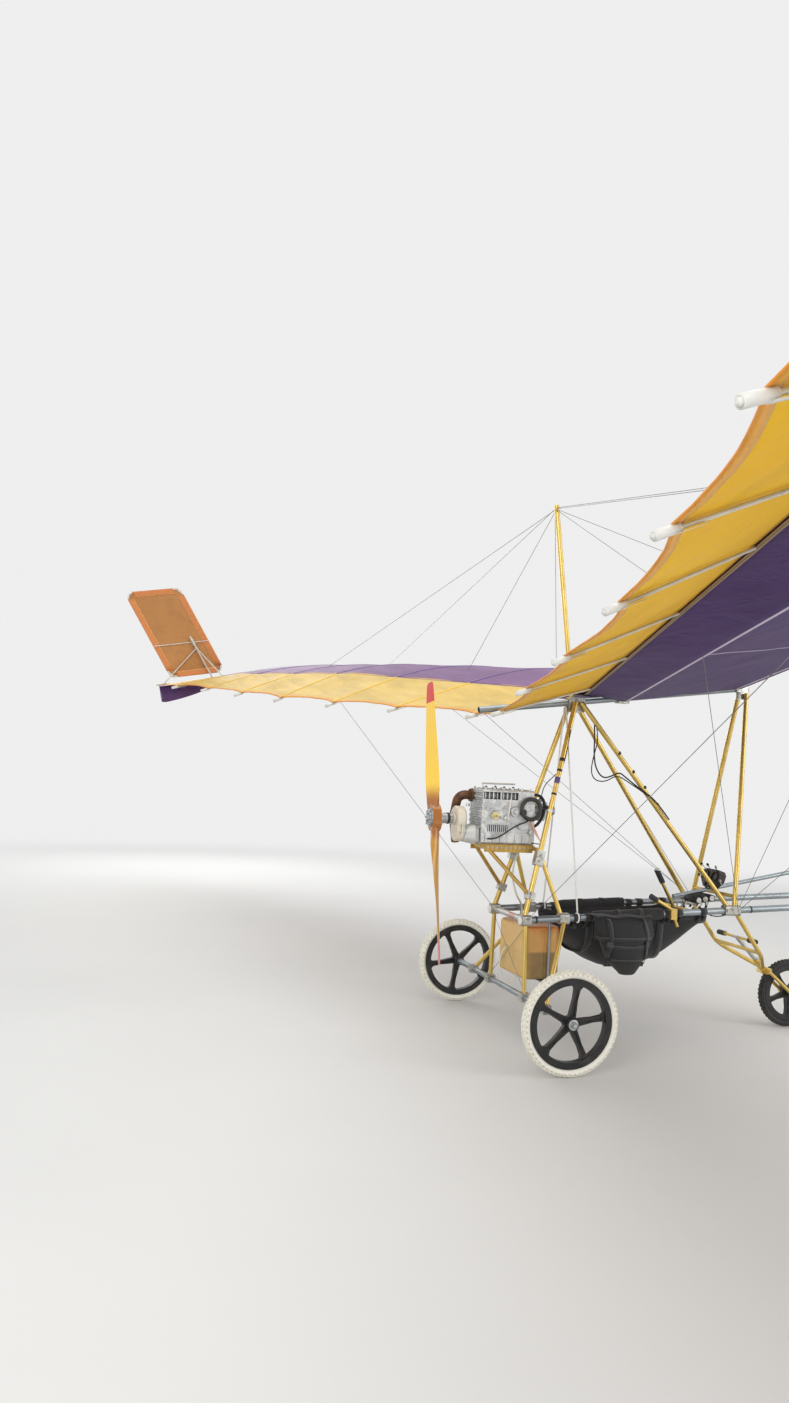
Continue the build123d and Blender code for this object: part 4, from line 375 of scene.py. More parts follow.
GREY, GOLD, WORN, WORN_GOLD = (158, 166, 170), (222, 191, 108), (196, 194, 186), (222, 208, 160)
GOLD_ALONG, GREY_SPANWISE, GOLD_SPANWISE = (1, 1, 0.12), (1, 0.03, 1), (1, 0.05, 1)
PALE = (218, 215, 206)
alloys = {}
for name, covered, *look in (
    ("grey_tube_lengthways", ("longerons", "keel_tube"), GREY, WORN, (0.03, 1, 1)),
    ("gold_tube", ("rear_uprights", "front_uprights", "gear_legs", "kingpost", "nose_legs"),
     GOLD, WORN_GOLD, GOLD_ALONG),
    ("gold_tube_across", ("engine_mount",), (204, 168, 92), (206, 186, 136), GOLD_SPANWISE),
    ("cross_tube_finish", ("cross_tubes",), GOLD, WORN_GOLD, GOLD_SPANWISE),
    ("grey_tube", ("tank_cradle", "canard_mast", "canard_frame"), GREY, WORN),
    ("grey_tube_spanwise", ("main_axle",), GREY, WORN, GREY_SPANWISE),
    ("pale_tube", ("wing_frame_left", "wing_frame_right", "rudder_frame_left",
                   "rudder_frame_right"), PALE, (170, 166, 156), GREY_SPANWISE),
    ("bracket_alloy", ("frame_brackets",), (196, 195, 188), (120, 116, 108), (1, 1, 1), 0.5),
    ("fork_finish", ("nose_fork",), GOLD, WORN_GOLD, GOLD_ALONG),
    ("control_tube", ("hand_controls",), GOLD, WORN_GOLD, GOLD_ALONG),
    ("hub_alloy", ("prop_hub",), (188, 190, 192), (214, 214, 210)),
    ("plated_steel", (), (206, 206, 202), (150, 146, 138), (1, 1, 1), 0.5),
    ("bright_alloy", (), (214, 216, 216), (176, 176, 170), (1, 1, 1), 0.55),
    ("brass_fitting", (), (216, 184, 96), (160, 132, 70), (1, 1, 1), 0.5),
):
    alloys[name] = anodised(name, *look)
    alloys[name].cover(*covered)
alloys["pale_tube"].paint(metallic=0.3)
plated_steel, bright_alloy, brass = (
    alloys[name] for name in ("plated_steel", "bright_alloy", "brass_fitting"))

crossing = alloys["cross_tube_finish"]
tail_tube = 1 - crossing.axis("X").between(AXLE_X + 0.05, AXLE_X + 0.06)
taped = tail_tube * (1 - (crossing.axis("Y") + 0.06).size().between(0.036, 0.038))
crossing.paint(base_color=crossing.coats(
    old_gold(crossing),
    (crossing.mottle((214, 214, 210), (168, 168, 164), 30, 5), tail_tube),
    (crossing.mottle((214, 176, 170), (184, 140, 138), 60, 5), taped),
))

# Nose fork. Gold tube like the legs, with a bare steel stem between its crown and its foot bar,
# and black sleeves pushed on to the bar for the pilot's heels.
fork = alloys["fork_finish"]
sleeved = fork.axis("Y").size().between(0.1155, 0.1165)
stem = (1 - fork.axis("Y").size().between(0.02, 0.022)) * fork.axis("Z").between(0.40, 0.402)
moulding = (fork.axis("Y") * 220).wave()
fork.paint(
    base_color=fork.coats(
        old_gold(fork),
        (fork.mottle((206, 207, 206), (150, 150, 146), 24, 5), stem),
        (fork.mix((34, 34, 35), (58, 57, 55), moulding), sleeved),
    ),
    metallic=0.82 - sleeved * 0.8,
    roughness=0.34 + sleeved * 0.3,
    normal=fork.bump(moulding * sleeved, 0.0008),
)

# Controls. The column is gold tube with a moulded grip; the CAD solids carry the finish.
controls = alloys["control_tube"]
column = controls.axis("X").between(AXLE_X + 0.905, AXLE_X + 0.906)
gripped = (column * controls.axis("Z").between(0.846, 0.848)).most(
    (1 - controls.axis("X").between(AXLE_X + 0.779, AXLE_X + 0.780))
)
cap = column * controls.axis("Z").between(0.917, 0.918)
ribs = (controls.axis("Z") * 160).wave()
controls.paint(
    base_color=controls.coats(
        old_gold(controls),
        (controls.mix((48, 52, 56), (34, 36, 40), ribs), gripped),
        ((196, 198, 198), cap),
    ),
    metallic=(0.82 - gripped * 0.8).most(cap * 0.8),
    roughness=0.34 + gripped * 0.3 - cap * 0.2,
    normal=controls.bump(ribs * gripped, 0.0006),
)

# Engine castings. Sand-cast aluminium, sprayed silver and flaking, with pale bloom and oil.


def casting(name, silver, bloom, grime, metallic=0.45, dress=None, recess_shade=((34, 32, 30), 0.9)):
    """Cast alloy: a coarse grain, pale bloom in patches, oil low down and painted shade in corners.
    """
    finish = Finish(name, metallic=metallic)
    patches = finish.noise(22, 6, roughness=0.65, bend=0.8).between(0.46, 0.62)
    oil = finish.noise(11, 5, roughness=0.6).between(0.56, 0.74)
    grain = finish.noise(700, 2)
    pits = finish.node("ShaderNodeTexVoronoi", None, {"Vector": finish.place(), "Scale": 260},
                       "Distance").between(0.05, 0.3)
    body = finish.coats(silver, (bloom, patches * 0.75), (grime, oil * 0.55))
    if dress:
        body = dress(finish, body)
    # Corners and recesses are darkened by ambient occlusion: painted shade.
    return finish.paint(
        base_color=finish.mix(body, recess_shade[0], finish.hollow(0.024).between(0.22, 0.72) * recess_shade[1]),
        roughness=grain * 0.2 + patches * 0.15 + 0.36 - oil * 0.1,
        normal=finish.bump(grain * 0.6 + pits + patches * 0.5, 0.0006),
    )


def cream_boss(finish, body):
    """Cream paint on the round boss of the block's near face."""
    across, up = finish.axis("X") - (AXLE_X - 0.156), finish.axis("Z") - 1.203
    boss = (1 - ((across ** 2 + up ** 2) ** 0.5).between(0.029, 0.031)) * (
        1 - finish.axis("Y").between(-0.0945, -0.0935))
    return finish.mix(body, (230, 216, 168), boss)


def cream_bell(finish, body):
    """Cream paint on the gearbox's bell and bare silver ahead of it."""
    bell = 1 - finish.axis("X").between(AXLE_X - 0.316, AXLE_X - 0.314)
    finish.paint(metallic=0.5 - bell * 0.45)
    return finish.mix(finish.mottle((176, 178, 176), (218, 218, 212), 22, 6), body, bell)


casting("engine_alloy", (196, 199, 200), (238, 238, 234), (92, 82, 66),
        dress=cream_boss).cover("engine_block", "cylinder_head")
casting("gearbox_paint", (220, 212, 192), (232, 226, 210), (146, 124, 88),
        dress=cream_bell, recess_shade=((44, 40, 36), 0.8)).cover("gearbox")
casting("carburettor_alloy", (168, 178, 188), (206, 210, 212), (90, 88, 86),
        0.6).cover("carburettor")

# Exhaust. Mild steel elbow, browned by heat, with darker rust and paler flakes.
steel = Finish("exhaust_steel", metallic=0.55)
rust = steel.noise(30, 7, roughness=0.7)
flakes = steel.noise(120, 4).between(0.5, 0.7)
steel.paint(
    base_color=steel.coats(
        (122, 84, 58), ((78, 56, 46), rust.between(0.35, 0.65)), ((150, 112, 82), flakes * 0.4)),
    roughness=rust * 0.3 + 0.42,
    normal=steel.bump(rust + flakes * 0.5, 0.0006),
).cover("exhaust_pipe")

# Moulded plastic and rubber: pod, wheels, hoses, grips and caps. Fine grain and dusty faces.


def moulded(name, colour, dust, gloss=0.42, grain_scale=900):
    finish = Finish(name)
    grain = finish.noise(grain_scale, 2)
    film = finish.noise(14, 5, roughness=0.65).between(0.42, 0.75)
    return finish.paint(
        base_color=finish.mix(colour, dust, film * 0.35),
        roughness=grain * 0.12 + film * 0.2 + gloss,
        normal=finish.bump(grain, 0.0002),
    )


BLACK, DUSTY = (30, 30, 31), (92, 90, 86)
moulded("black_plastic", BLACK, DUSTY).cover("instrument_pod")
moulded("wheel_plastic", (26, 26, 27), (84, 80, 74), 0.36).cover(
    "main_wheel_left", "main_wheel_right", "nose_wheel")
ancillary = moulded("ancillary_rubber_and_rail", BLACK, DUSTY)
rail = ancillary.axis("Z").between(1.348, 1.349)
ancillary.paint(
    base_color=ancillary.mix(
        ancillary.mottle(BLACK, (84, 82, 78), 14, 5, 0.5), (206, 206, 204), rail),
    metallic=rail * 0.85,
).cover("engine_ancillaries")
grip_rubber = moulded("grip_rubber", (40, 42, 44), (96, 94, 90), 0.6, 500)
white_plastic = moulded("white_fittings", (232, 232, 226), (180, 176, 164), 0.36)
hose_rubber = moulded("hose_rubber", (28, 28, 29), (88, 86, 82), 0.45, 300)
clear_hose = moulded("clear_hose", (224, 222, 208), (186, 178, 150), 0.3, 300)

# Fuel tank. Blow-moulded translucent plastic, amber with age, darker where the fuel stands.
amber = Finish(
    "amber_plastic", subsurface_weight=0.3, subsurface_radius=(0.05, 0.025, 0.008),
    subsurface_scale=0.6, coat_roughness=0.25,
)
ripple = amber.noise(16, 3)
amber.paint(
    base_color=amber.coats(
        (128, 104, 62),
        ((198, 150, 84), amber.axis("Z").between(0.47, 0.485)),
        ((196, 120, 48), amber.axis("Z").between(0.57, 0.612)),
        ((224, 186, 116), (1 - amber.axis("X").between(AXLE_X + 0.02, AXLE_X + 0.07)) * 0.75
         + ripple.between(0.3, 0.7) * 0.15),
    ),
    roughness=ripple * 0.15 + 0.24,
    normal=amber.bump(ripple, 0.002),
).cover("fuel_tank")

# Sail. Woven polyester stiffened with resin, purple ahead and yellow behind, in two skins round
# the spars and one skin over the battens. Zigzag seams, pockets and tapes are sewn on.
HALF_SPAN, ROOT_GAP = 5.0, 0.03
FRONT_SPAR = ((1.44, 2.045), (-0.01, 2.4))
REAR_SPAR = ((0.65, 1.915), (-0.9, 2.255))
SLEEVE = 0.0276            # from a spar's middle to the middle of the cloth round it
SEAM_SLOT = 0.016
WING_STATIONS = [
    # span, arch of the upper skin, seam behind rear spar, seam above it, tail behind seam, drop
    (0.03, 0.080, 0.241, -0.005, 0.550, 0.149),
    (2.5, 0.074, 0.235, 0.055, 0.455, 0.215),
    (4.3, 0.060, 0.337, 0.011, 0.440, 0.126),
    (5.0, 0.012, 0.400, -0.062, 0.395, 0.068),
]
BATTEN_SPANS = [0.194, 1.039, 1.879, 2.702, 3.337, 3.947, 4.56]
SPAN_EDGES = [ROOT_GAP, *BATTEN_SPANS, HALF_SPAN]
SCALLOP, CLOTH, REAR_SHARE = 0.048, 0.0012, 0.25
UP = Vector((0, 0, 1))


def blend(first, last, share):
    """The value or point that lies the given share of the way from first to last."""
    if isinstance(first, tuple):
        return tuple(a + (b - a) * share for a, b in zip(first, last))
    return first + (last - first) * share


def steps(first, last, count):
    """Values from first to last in even steps."""
    return [blend(first, last, step / count) for step in range(count + 1)]


def spar_at(spar, span):
    return blend(*spar, span / HALF_SPAN)


def gap_at(edges, place):
    """Which gap between edges a place falls in, and how far across it the place is, 0 to 1."""
    for number, (low, high) in enumerate(zip(edges, edges[1:])):
        if place <= high:
            return number, (place - low) / (high - low)
    return number, 1.0


def row_at(table, place):
    """A table's row for a place, between those whose first values it falls between."""
    number, share = gap_at([row[0] for row in table], place)
    return blend(*table[number:number + 2], share)


def seam_at(span):
    """Side-view place of the lower skin's rear edge."""
    spar_x, spar_z = spar_at(REAR_SPAR, span)
    _, _, behind, above, _, _ = row_at(WING_STATIONS, span)
    return spar_x - behind, spar_z + above


def tail_at(span):
    """Side-view place of the trailing edge at a batten."""
    seam_x, seam_z = seam_at(span)
    *_, behind, drop = row_at(WING_STATIONS, span)
    return seam_x - behind, seam_z - drop


def between_battens(span):
    """Width of the bay round a span, and how far across it the span lies, 0 to 1."""
    number, share = gap_at(SPAN_EDGES, span)
    return SPAN_EDGES[number + 1] - SPAN_EDGES[number], share


def hump(share):
    """Rises from 0 to 1 halfway and falls back to 0."""
    return math.sin(math.pi * share)


def rumple(*octaves):
    """Noise summed over octaves, each a share and a place."""
    return sum(share * noise.noise(Vector(place)) for share, *place in octaves)


def upper_skin(span, share):
    """Point on the purple upper skin, from the front spar (0) to the seam (1)."""
    nose_x, nose_z = spar_at(FRONT_SPAR, span)
    seam_x, seam_z = seam_at(span)
    width, bay = between_battens(span)
    sag = 0.007 * hump(bay) ** 2 * hump(share) * min(1, width)
    height = blend(nose_z + SLEEVE, seam_z + SEAM_SLOT + 0.003, share)
    arch = 4 * row_at(WING_STATIONS, span)[1] * share * (1 - share)
    return at(blend(nose_x, seam_x, share), span, height + arch - sag)


def lower_skin(span, share):
    """Point on the purple lower skin, from the seam (0) past the rear spar to the nose (1)."""
    seam_x, seam_z = seam_at(span)
    rear, nose = (
        (x, z - SLEEVE) for x, z in (spar_at(REAR_SPAR, span), spar_at(FRONT_SPAR, span)))
    if share < REAR_SHARE:
        first, last, along = (seam_x, seam_z + 0.001), rear, share / REAR_SHARE
    else:
        first, last, along = rear, nose, (share - REAR_SHARE) / (1 - REAR_SHARE)
    forward, height = blend(first, last, along)
    crease = rumple((1, span * 1.7, forward * 5 + span * 2, 3.1),
                    (0.5, span * 6, forward * 9, 7.7))
    return at(forward, span, height + 0.006 * hump(along) * crease)


def rear_panel(span, share):
    """Point on the yellow rear panel, from the seam (0) to its scalloped edge (1)."""
    seam_x, seam_z = seam_at(span)
    tail_x, tail_z = tail_at(span)
    width, bay = between_battens(span)
    edge_x = tail_x + SCALLOP * min(1, width / 0.8) * 4 * bay * (1 - bay)
    forward = blend(seam_x - 0.0003, edge_x, share)
    reach = (seam_x - forward) / (seam_x - tail_x)
    height = blend(seam_z + SEAM_SLOT + 0.003, tail_z + 0.001, reach)
    pull = hump(bay) ** 2 * min(1, width / 0.6)
    sag = 0.012 * pull * hump(min(1, share * 0.95)) ** 0.7
    streak = rumple((1, span * 3 + share * 2.5, share * 1.2 - span, 1.3),
                    (0.6, span * 11 + share * 6, share * 2, 5.3))
    return at(forward, span, height - sag + 0.0045 * streak * min(1, 3 * pull) * share ** 0.5)


def cloth_grid(name, rows, finish, thickness=CLOTH):
    """A cloth piece from rows of points, each with its place on the flat cloth in metres."""
    count = len(rows[0])
    mesh = bpy.data.meshes.new(name)
    faces = [
        (r * count + c, r * count + c + 1, (r + 1) * count + c + 1, (r + 1) * count + c)
        for r in range(len(rows) - 1) for c in range(count - 1)
    ]
    points, flat = zip(*(pair for row in rows for pair in row))
    mesh.from_pydata(points, [], faces)
    uv = mesh.uv_layers.new(name="cloth")
    for loop in mesh.loops:
        uv.data[loop.index].uv = flat[loop.vertex_index]
    piece = link(name, mesh)
    mesh.shade_smooth()
    if thickness:
        modify(piece, "SOLIDIFY", thickness=thickness, offset=0)
    finish.cover(piece)
    return piece


def tape(name, points, normals, width, finish, thick=0.0012):
    """A flat strip of cloth along points, lying on a surface with those normals or that one."""
    if isinstance(normals, Vector):
        normals = [normals] * len(points)
    rings, run = [], 0.0
    for index, (point, normal) in enumerate(zip(points, normals)):
        ahead = points[min(index + 1, len(points) - 1)]
        behind = points[max(index - 1, 0)]
        side = (ahead - behind).cross(normal).normalized() * width / 2
        top = normal.normalized() * thick
        run += (point - behind).length if index else 0
        rings.append([(corner, (run, across)) for corner, across in (
            (point - side, 0), (point - side + top, 0), (point + side + top, width),
            (point + side, width), (point - side, 0))])
    piece = cloth_grid(name, rings, finish, 0)
    shell = bmesh.new()
    shell.from_mesh(piece.data)
    bmesh.ops.remove_doubles(shell, verts=shell.verts, dist=1e-6)
    bmesh.ops.holes_fill(shell, edges=[e for e in shell.edges if e.is_boundary], sides=4)
    bmesh.ops.recalc_face_normals(shell, faces=shell.faces)
    shell.to_mesh(piece.data)
    shell.free()
    return piece


def surface_tape(name, surface, places, width, lift, finish, thick=0.0012):
    """A tape along places (span, share) on one of the sail's surfaces; lift below 0 is under it."""
    points, normals = [], []
    for span, share in places:
        spanwise = surface(min(span + 0.01, HALF_SPAN), share) - surface(
            max(span - 0.01, ROOT_GAP), share)
        chordwise = surface(span, min(share + 0.01, 1)) - surface(span, max(share - 0.01, 0))
        normal = spanwise.cross(chordwise).normalized()
        normal = normal if normal.z * lift > 0 else -normal
        points.append(surface(span, share) + normal * abs(lift))
        normals.append(normal)
    return tape(name, points, normals, width, finish, thick)


def starboard_copy(piece):
    """The same piece for the other side, with a mesh of its own."""
    twin = link(piece.name.replace("left", "right"), piece.data.copy())
    twin.data.transform(Matrix.Diagonal((1, -1, 1, 1)))
    twin.data.flip_normals()
    return twin


def sailcloth(name, colour, shade, thread, top_light_colour=None):
    """Resin-stiffened polyester: fine weave, soft clouding and hard little creases. Its upper
    side is painted a second, paler colour as painted light, in streaks along the span."""
    finish = Finish(name, sheen_weight=0.03, sheen_roughness=0.4, specular_ior_level=0.25)
    weave = (finish.along("U") * 700).wave() * (finish.along("V") * 700).wave()
    cloud = finish.noise(1.6, 4, bend=0.5)
    crease = finish.noise(5, 6, finish.place((1, 0.4, 1), turn=(0, 0, 0.7)), 0.6, 1.0)
    fold = (crease - 0.5).size()
    soil = finish.noise(9, 6, roughness=0.7).between(0.55, 0.8)
    pull = finish.noise(8, 3, finish.place((1, 0.2, 1), turn=(0, 0, 0.45)), bend=0.4)
    # The wrinkles darken the colour as well as the bump: painted shade in their folds.
    body = finish.coats(
        colour, (shade, cloud.between(0.3, 0.75) * 0.6 + weave * 0.12),
        (darker(colour, 0.7), pull.between(0.5, 0.68) * 0.35))
    # Faces that look up get the second colour: painted light, as the cloth is the same on both
    # sides.
    if top_light_colour:
        streak = finish.noise(7, 5, finish.place((1, 0.1, 1)), 0.6)
        upper = finish.axis("Z", finish.node("ShaderNodeNewGeometry", output=3)).between(-0.1, 0.3)
        top_light_streaks = finish.mix(top_light_colour, darker(top_light_colour, 0.78), streak.between(0.35, 0.7))
        body = finish.mix(body, top_light_streaks, upper * 0.92)
    return finish.paint(
        base_color=finish.mix(body, thread, soil * 0.1),
        roughness=weave * 0.1 + cloud * 0.12 + 0.5,
        normal=finish.bump(
            weave * 0.02 - fold.between(0.0, 0.12) * 0.2 + crease * 0.3 + pull, 0.009),
    )


def sewn_tape(name, colour, thread, width):
    """Tape with two rows of zigzag stitches along its edges."""
    finish = Finish(name, sheen_weight=0.2)
    run, side = finish.along("U"), finish.along("V")
    zigzag = ((run * 160).part() - 0.5).size() * 0.004 + 0.0025
    stitch = 1 - (side.least(width - side) - zigzag).size().between(0.0004, 0.0011)
    weave = (run * 800).wave() * (side * 800).wave()
    wear = finish.noise(40, 5).between(0.4, 0.8)
    return finish.paint(
        base_color=finish.coats(
            colour, (darker(colour, 0.7), wear * 0.5 + weave * 0.2), (thread, stitch * 0.8)),
        roughness=0.6 + weave * 0.2,
        normal=finish.bump(weave * 0.3 + stitch, 0.0006),
    )


purple_cloth = sailcloth("purple_sailcloth", (70, 40, 102), (62, 42, 104), (140, 120, 170),
                         (142, 108, 148))
yellow_cloth = sailcloth("yellow_sailcloth", (252, 198, 2), (240, 180, 2), (170, 130, 40),
                         (234, 202, 120))
seam_tape, pale_tape_and_highlight, yellow_tape, purple_tape, hem_tape, binding_tape = (
    sewn_tape(*look) for look in (
        ("seam_tape", (120, 84, 40), (214, 190, 120), 0.016),
        ("pale_tape_and_highlight", (202, 190, 216), (236, 230, 240), 0.018),
        ("yellow_tape", (250, 204, 40), (250, 236, 180), 0.034),
        ("purple_tape", (104, 78, 140), (170, 150, 190), 0.034),
        ("hem_tape", (242, 168, 18), (250, 232, 170), 0.03),
        ("binding_tape", (240, 180, 14), (214, 150, 60), 0.04),
    ))
SPANS = sorted({*SPAN_EDGES, *steps(ROOT_GAP, HALF_SPAN, 124)})
SHARES = steps(0.0, 1.0, 24)

front_rows, rear_rows = [], []
for span in SPANS:
    nose_x, nose_z = spar_at(FRONT_SPAR, span)
    row = [lower_skin(span, share) for share in steps(0.0, 1.0, 44)]
    row += [
        at(nose_x + SLEEVE * math.sin(turn), span, nose_z - SLEEVE * math.cos(turn))
        for turn in (math.pi * step / 9 for step in range(1, 9))
    ]
    row += [upper_skin(span, share) for share in steps(0.0, 1.0, 40)]
    runs = [0.0]
    for before, after in zip(row, row[1:]):
        runs.append(runs[-1] + (after - before).length)
    front_rows.append([(point, (span, run)) for point, run in zip(row, runs)])
    row = [rear_panel(span, share) for share in steps(0.0, 1.0, 22)]
    rear_rows.append([(point, (span, (point - row[0]).length)) for point in row])
sail_front = cloth_grid("sail_front_left", front_rows, purple_cloth)
sail_rear = cloth_grid("sail_rear_left_cloth", rear_rows, yellow_cloth)

TAPE_LIFT, POCKET_WIDTH, POCKET_THICK = 0.0008, 0.034, 0.0022
sewn = []
# The pale strips under the rear and front spars stand for the highlight where the lower skin is
# stretched over each spar: painted highlight.
for name, surface, share, width, lift, finish in (
    ("seam_tape", lower_skin, 0.0, 0.016, -TAPE_LIFT, seam_tape),
    ("rear_spar_tape", lower_skin, 0.272, 0.018, -TAPE_LIFT, pale_tape_and_highlight),
    ("front_spar_tape", lower_skin, 0.965, 0.018, -TAPE_LIFT, pale_tape_and_highlight),
    ("rear_binding", rear_panel, 0.002, 0.04, -0.0009, binding_tape),
    ("trailing_hem", rear_panel, 0.968, 0.03, -TAPE_LIFT, hem_tape),
    ("trailing_hem_top", rear_panel, 0.968, 0.03, TAPE_LIFT, hem_tape),
):
    sewn.append(surface_tape(
        f"{name}_left", surface, [(span, share) for span in SPANS], width, lift, finish))
sewn.append(surface_tape("zip_tape_left", lower_skin, [(1.5, 0.28 + s * 0.64) for s in SHARES],
                         0.012, -TAPE_LIFT, pale_tape_and_highlight))
for number, span in enumerate(BATTEN_SPANS, 1):
    for name, surface, first, finish in (("rear", rear_panel, 0.0, yellow_tape),
                                         ("front", upper_skin, 0.03, purple_tape)):
        sewn.append(surface_tape(
            f"{name}_pocket_{number}_left", surface,
            [(span, first + s * (1 - first)) for s in SHARES],
            POCKET_WIDTH, TAPE_LIFT, finish, POCKET_THICK))

# The trailing edge is rolled round a cord, from batten to batten.
cord_line, _ = curve_past(
    "trailing_cord_curve", "POLY", [rear_panel(span, 1.0) for span in SPANS], 0.0035, 2)
trailing_cord = link("trailing_cord_left", bpy.data.meshes.new_from_object(cord_line))
bpy.data.objects.remove(cord_line)
trailing_cord.data.shade_smooth()
moulded("trailing_cord", (226, 148, 44), (176, 110, 40), 0.5).cover(trailing_cord)
sewn.append(trailing_cord)

# Batten ends: a moulded white cap on each batten, and the white cloth tongue it is sewn under.
CAP_RADIUS = 0.0118
cap_plastic = moulded("white_caps", (226, 226, 220), (176, 172, 160), 0.34)
for number, span in enumerate(BATTEN_SPANS, 1):
    (seam_x, seam_z), (tail_x, tail_z) = seam_at(span), tail_at(span)
    slope = math.atan2(seam_z + SEAM_SLOT + 0.004 - tail_z - 0.002, seam_x - tail_x)
    back = Vector((-math.cos(slope), 0, -math.sin(slope)))
    end = at(tail_x, span, tail_z + 0.002 - 0.0129 / math.cos(slope)) + back * 0.045
    cap = solid(f"batten_cap_{number}_left", "cylinder", vertices=20, radius=CAP_RADIUS,
                depth=0.078)
    shape = bmesh.new()
    shape.from_mesh(cap.data)
    bmesh.ops.bevel(
        shape, geom=[e for e in shape.edges if abs(e.verts[0].co.z - e.verts[1].co.z) < 1e-6],
        offset=0.0045, segments=3, affect="EDGES",
    )
    for vertex in shape.verts:
        swell = max(0.0, (vertex.co.z - 0.012) / 0.027)
        vertex.co.x *= 1 + 0.30 * swell
        vertex.co.y *= 1 + 0.12 * swell
    shape.to_mesh(cap.data)
    shape.free()
    cap.data.transform(facing(end - back * 0.0305, back))
    cap.data.shade_smooth()
    cap_plastic.cover(cap)
    line = [end - back * (0.055 + 0.0085 * step) - UP * CAP_RADIUS for step in range(11)]
    sewn += [cap, tape(f"batten_tongue_{number}_left", line, -UP, 0.026, cap_plastic)]

# Tip plate: purple cloth below the tip tube, with a pale hem.
tip_nose, tip_tail = FRONT_SPAR[1], tail_at(HALF_SPAN)
PLATE_LENGTH, PLATE_DROP, TIP_Y = 0.64, 0.168, 5.0103
plate_rows = []
for share in steps(0.0, 1.0, 32):
    forward = tip_tail[0] + 0.008 + (PLATE_LENGTH - 0.012) * share
    tube = blend(tip_tail[1], tip_nose[1], (forward - tip_tail[0]) / (tip_nose[0] - tip_tail[0]))
    top = tube - 0.0115
    low = blend(tip_tail[1] - PLATE_DROP + 0.004, tube - 0.024, max(0.0, (share - 0.12) / 0.88))
    low = max(low, blend(top, tip_tail[1] - PLATE_DROP, min(1, share / 0.06)))
    plate_rows.append([
        (at(forward, TIP_Y + 0.003 * hump(k) * (1 - share), blend(top, low, k)),
         (forward, (top - low) * k))
        for k in steps(0.0, 1.0, 8)
    ])
tip_plate = cloth_grid("tip_plate_left", plate_rows, purple_cloth)
sewn.append(tape(
    "tip_plate_hem_left", [row[-1][0] + Vector((0, 0.0007, 0.006)) for row in plate_rows[1:]],
    Vector((0, 1, 0)), 0.012, sewn_tape("plate_hem", (206, 200, 214), (236, 232, 240), 0.012)))

for port in (sail_front, sail_rear, tip_plate, *sewn):
    for piece in (port, starboard_copy(port)):
        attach(piece, "airframe")
for side, _ in SIDES:
    for name, node, flat, area, cloth in (
        (f"sail_front_{side}", f"sail_{side}", (5.2, 2.9), 12.2, "purple_cloth"),
        (f"sail_rear_{side}_cloth", f"sail_rear_{side}", (5.2, 0.62), 2.4, "yellow_cloth"),
        (f"tip_plate_{side}", None, (0.65, 0.17), 0.068, "purple_cloth"),
    ):
        piece = bpy.data.objects[name]
        if node:
            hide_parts(node)

# Tip rudders. Orange sailcloth stretched in a bent tube, its edges turned round the straight runs
# of the tube and sewn back, so that the tube shows at the rounded corners.
RUDDER_PIVOT = (-1.387, 2.579)
RUDDER_RAKE, RUDDER_DROOP = math.radians(32), math.radians(11)
RUDDER_NEAR, RUDDER_FAR, RUDDER_FOOT, RUDDER_HEAD = -0.149, 0.381, -0.344, 0.591
RUDDER_CORNER, RUDDER_HEM = 0.055, 0.058
HEM_WIDTH = RUDDER_HEM * 2 + 0.03


def rudder_point(behind, above, left=HALF_SPAN):
    """A point on the rudder: chord behind its hinge line, span above its pivot."""
    return at(
        RUDDER_PIVOT[0] - behind * math.cos(RUDDER_DROOP) - above * math.sin(RUDDER_RAKE), left,
        RUDDER_PIVOT[1] - behind * math.sin(RUDDER_DROOP) + above * math.cos(RUDDER_RAKE),
    )


orange_cloth = sailcloth("orange_sailcloth", (190, 136, 82), (174, 118, 66), (150, 100, 56))
orange_hem = sewn_tape("orange_hem", (214, 134, 72), (238, 196, 130), HEM_WIDTH)
rudder_rows = []
for up in steps(0.0, 1.0, 36):
    above = blend(RUDDER_FOOT + 0.010, RUDDER_HEAD - 0.010, up)
    pinch = 0.0
    for edge in (RUDDER_FOOT, RUDDER_HEAD):
        gap = RUDDER_CORNER - abs(above - edge)
        if gap > 0:
            pinch = RUDDER_CORNER - math.sqrt(RUDDER_CORNER ** 2 - gap ** 2)
    behind = steps(RUDDER_NEAR + 0.010 + pinch, RUDDER_FAR - 0.010 - pinch, 22)
    rudder_rows.append([
        (rudder_point(b, above, HALF_SPAN + rumple((0.0035, b * 7, above * 5, 2.2))
                      * hump(c / 22) * hump(up)), (b, above))
        for c, b in enumerate(behind)
    ])
rudder_pieces = [cloth_grid("rudder_cloth_left", rudder_rows, orange_cloth)]

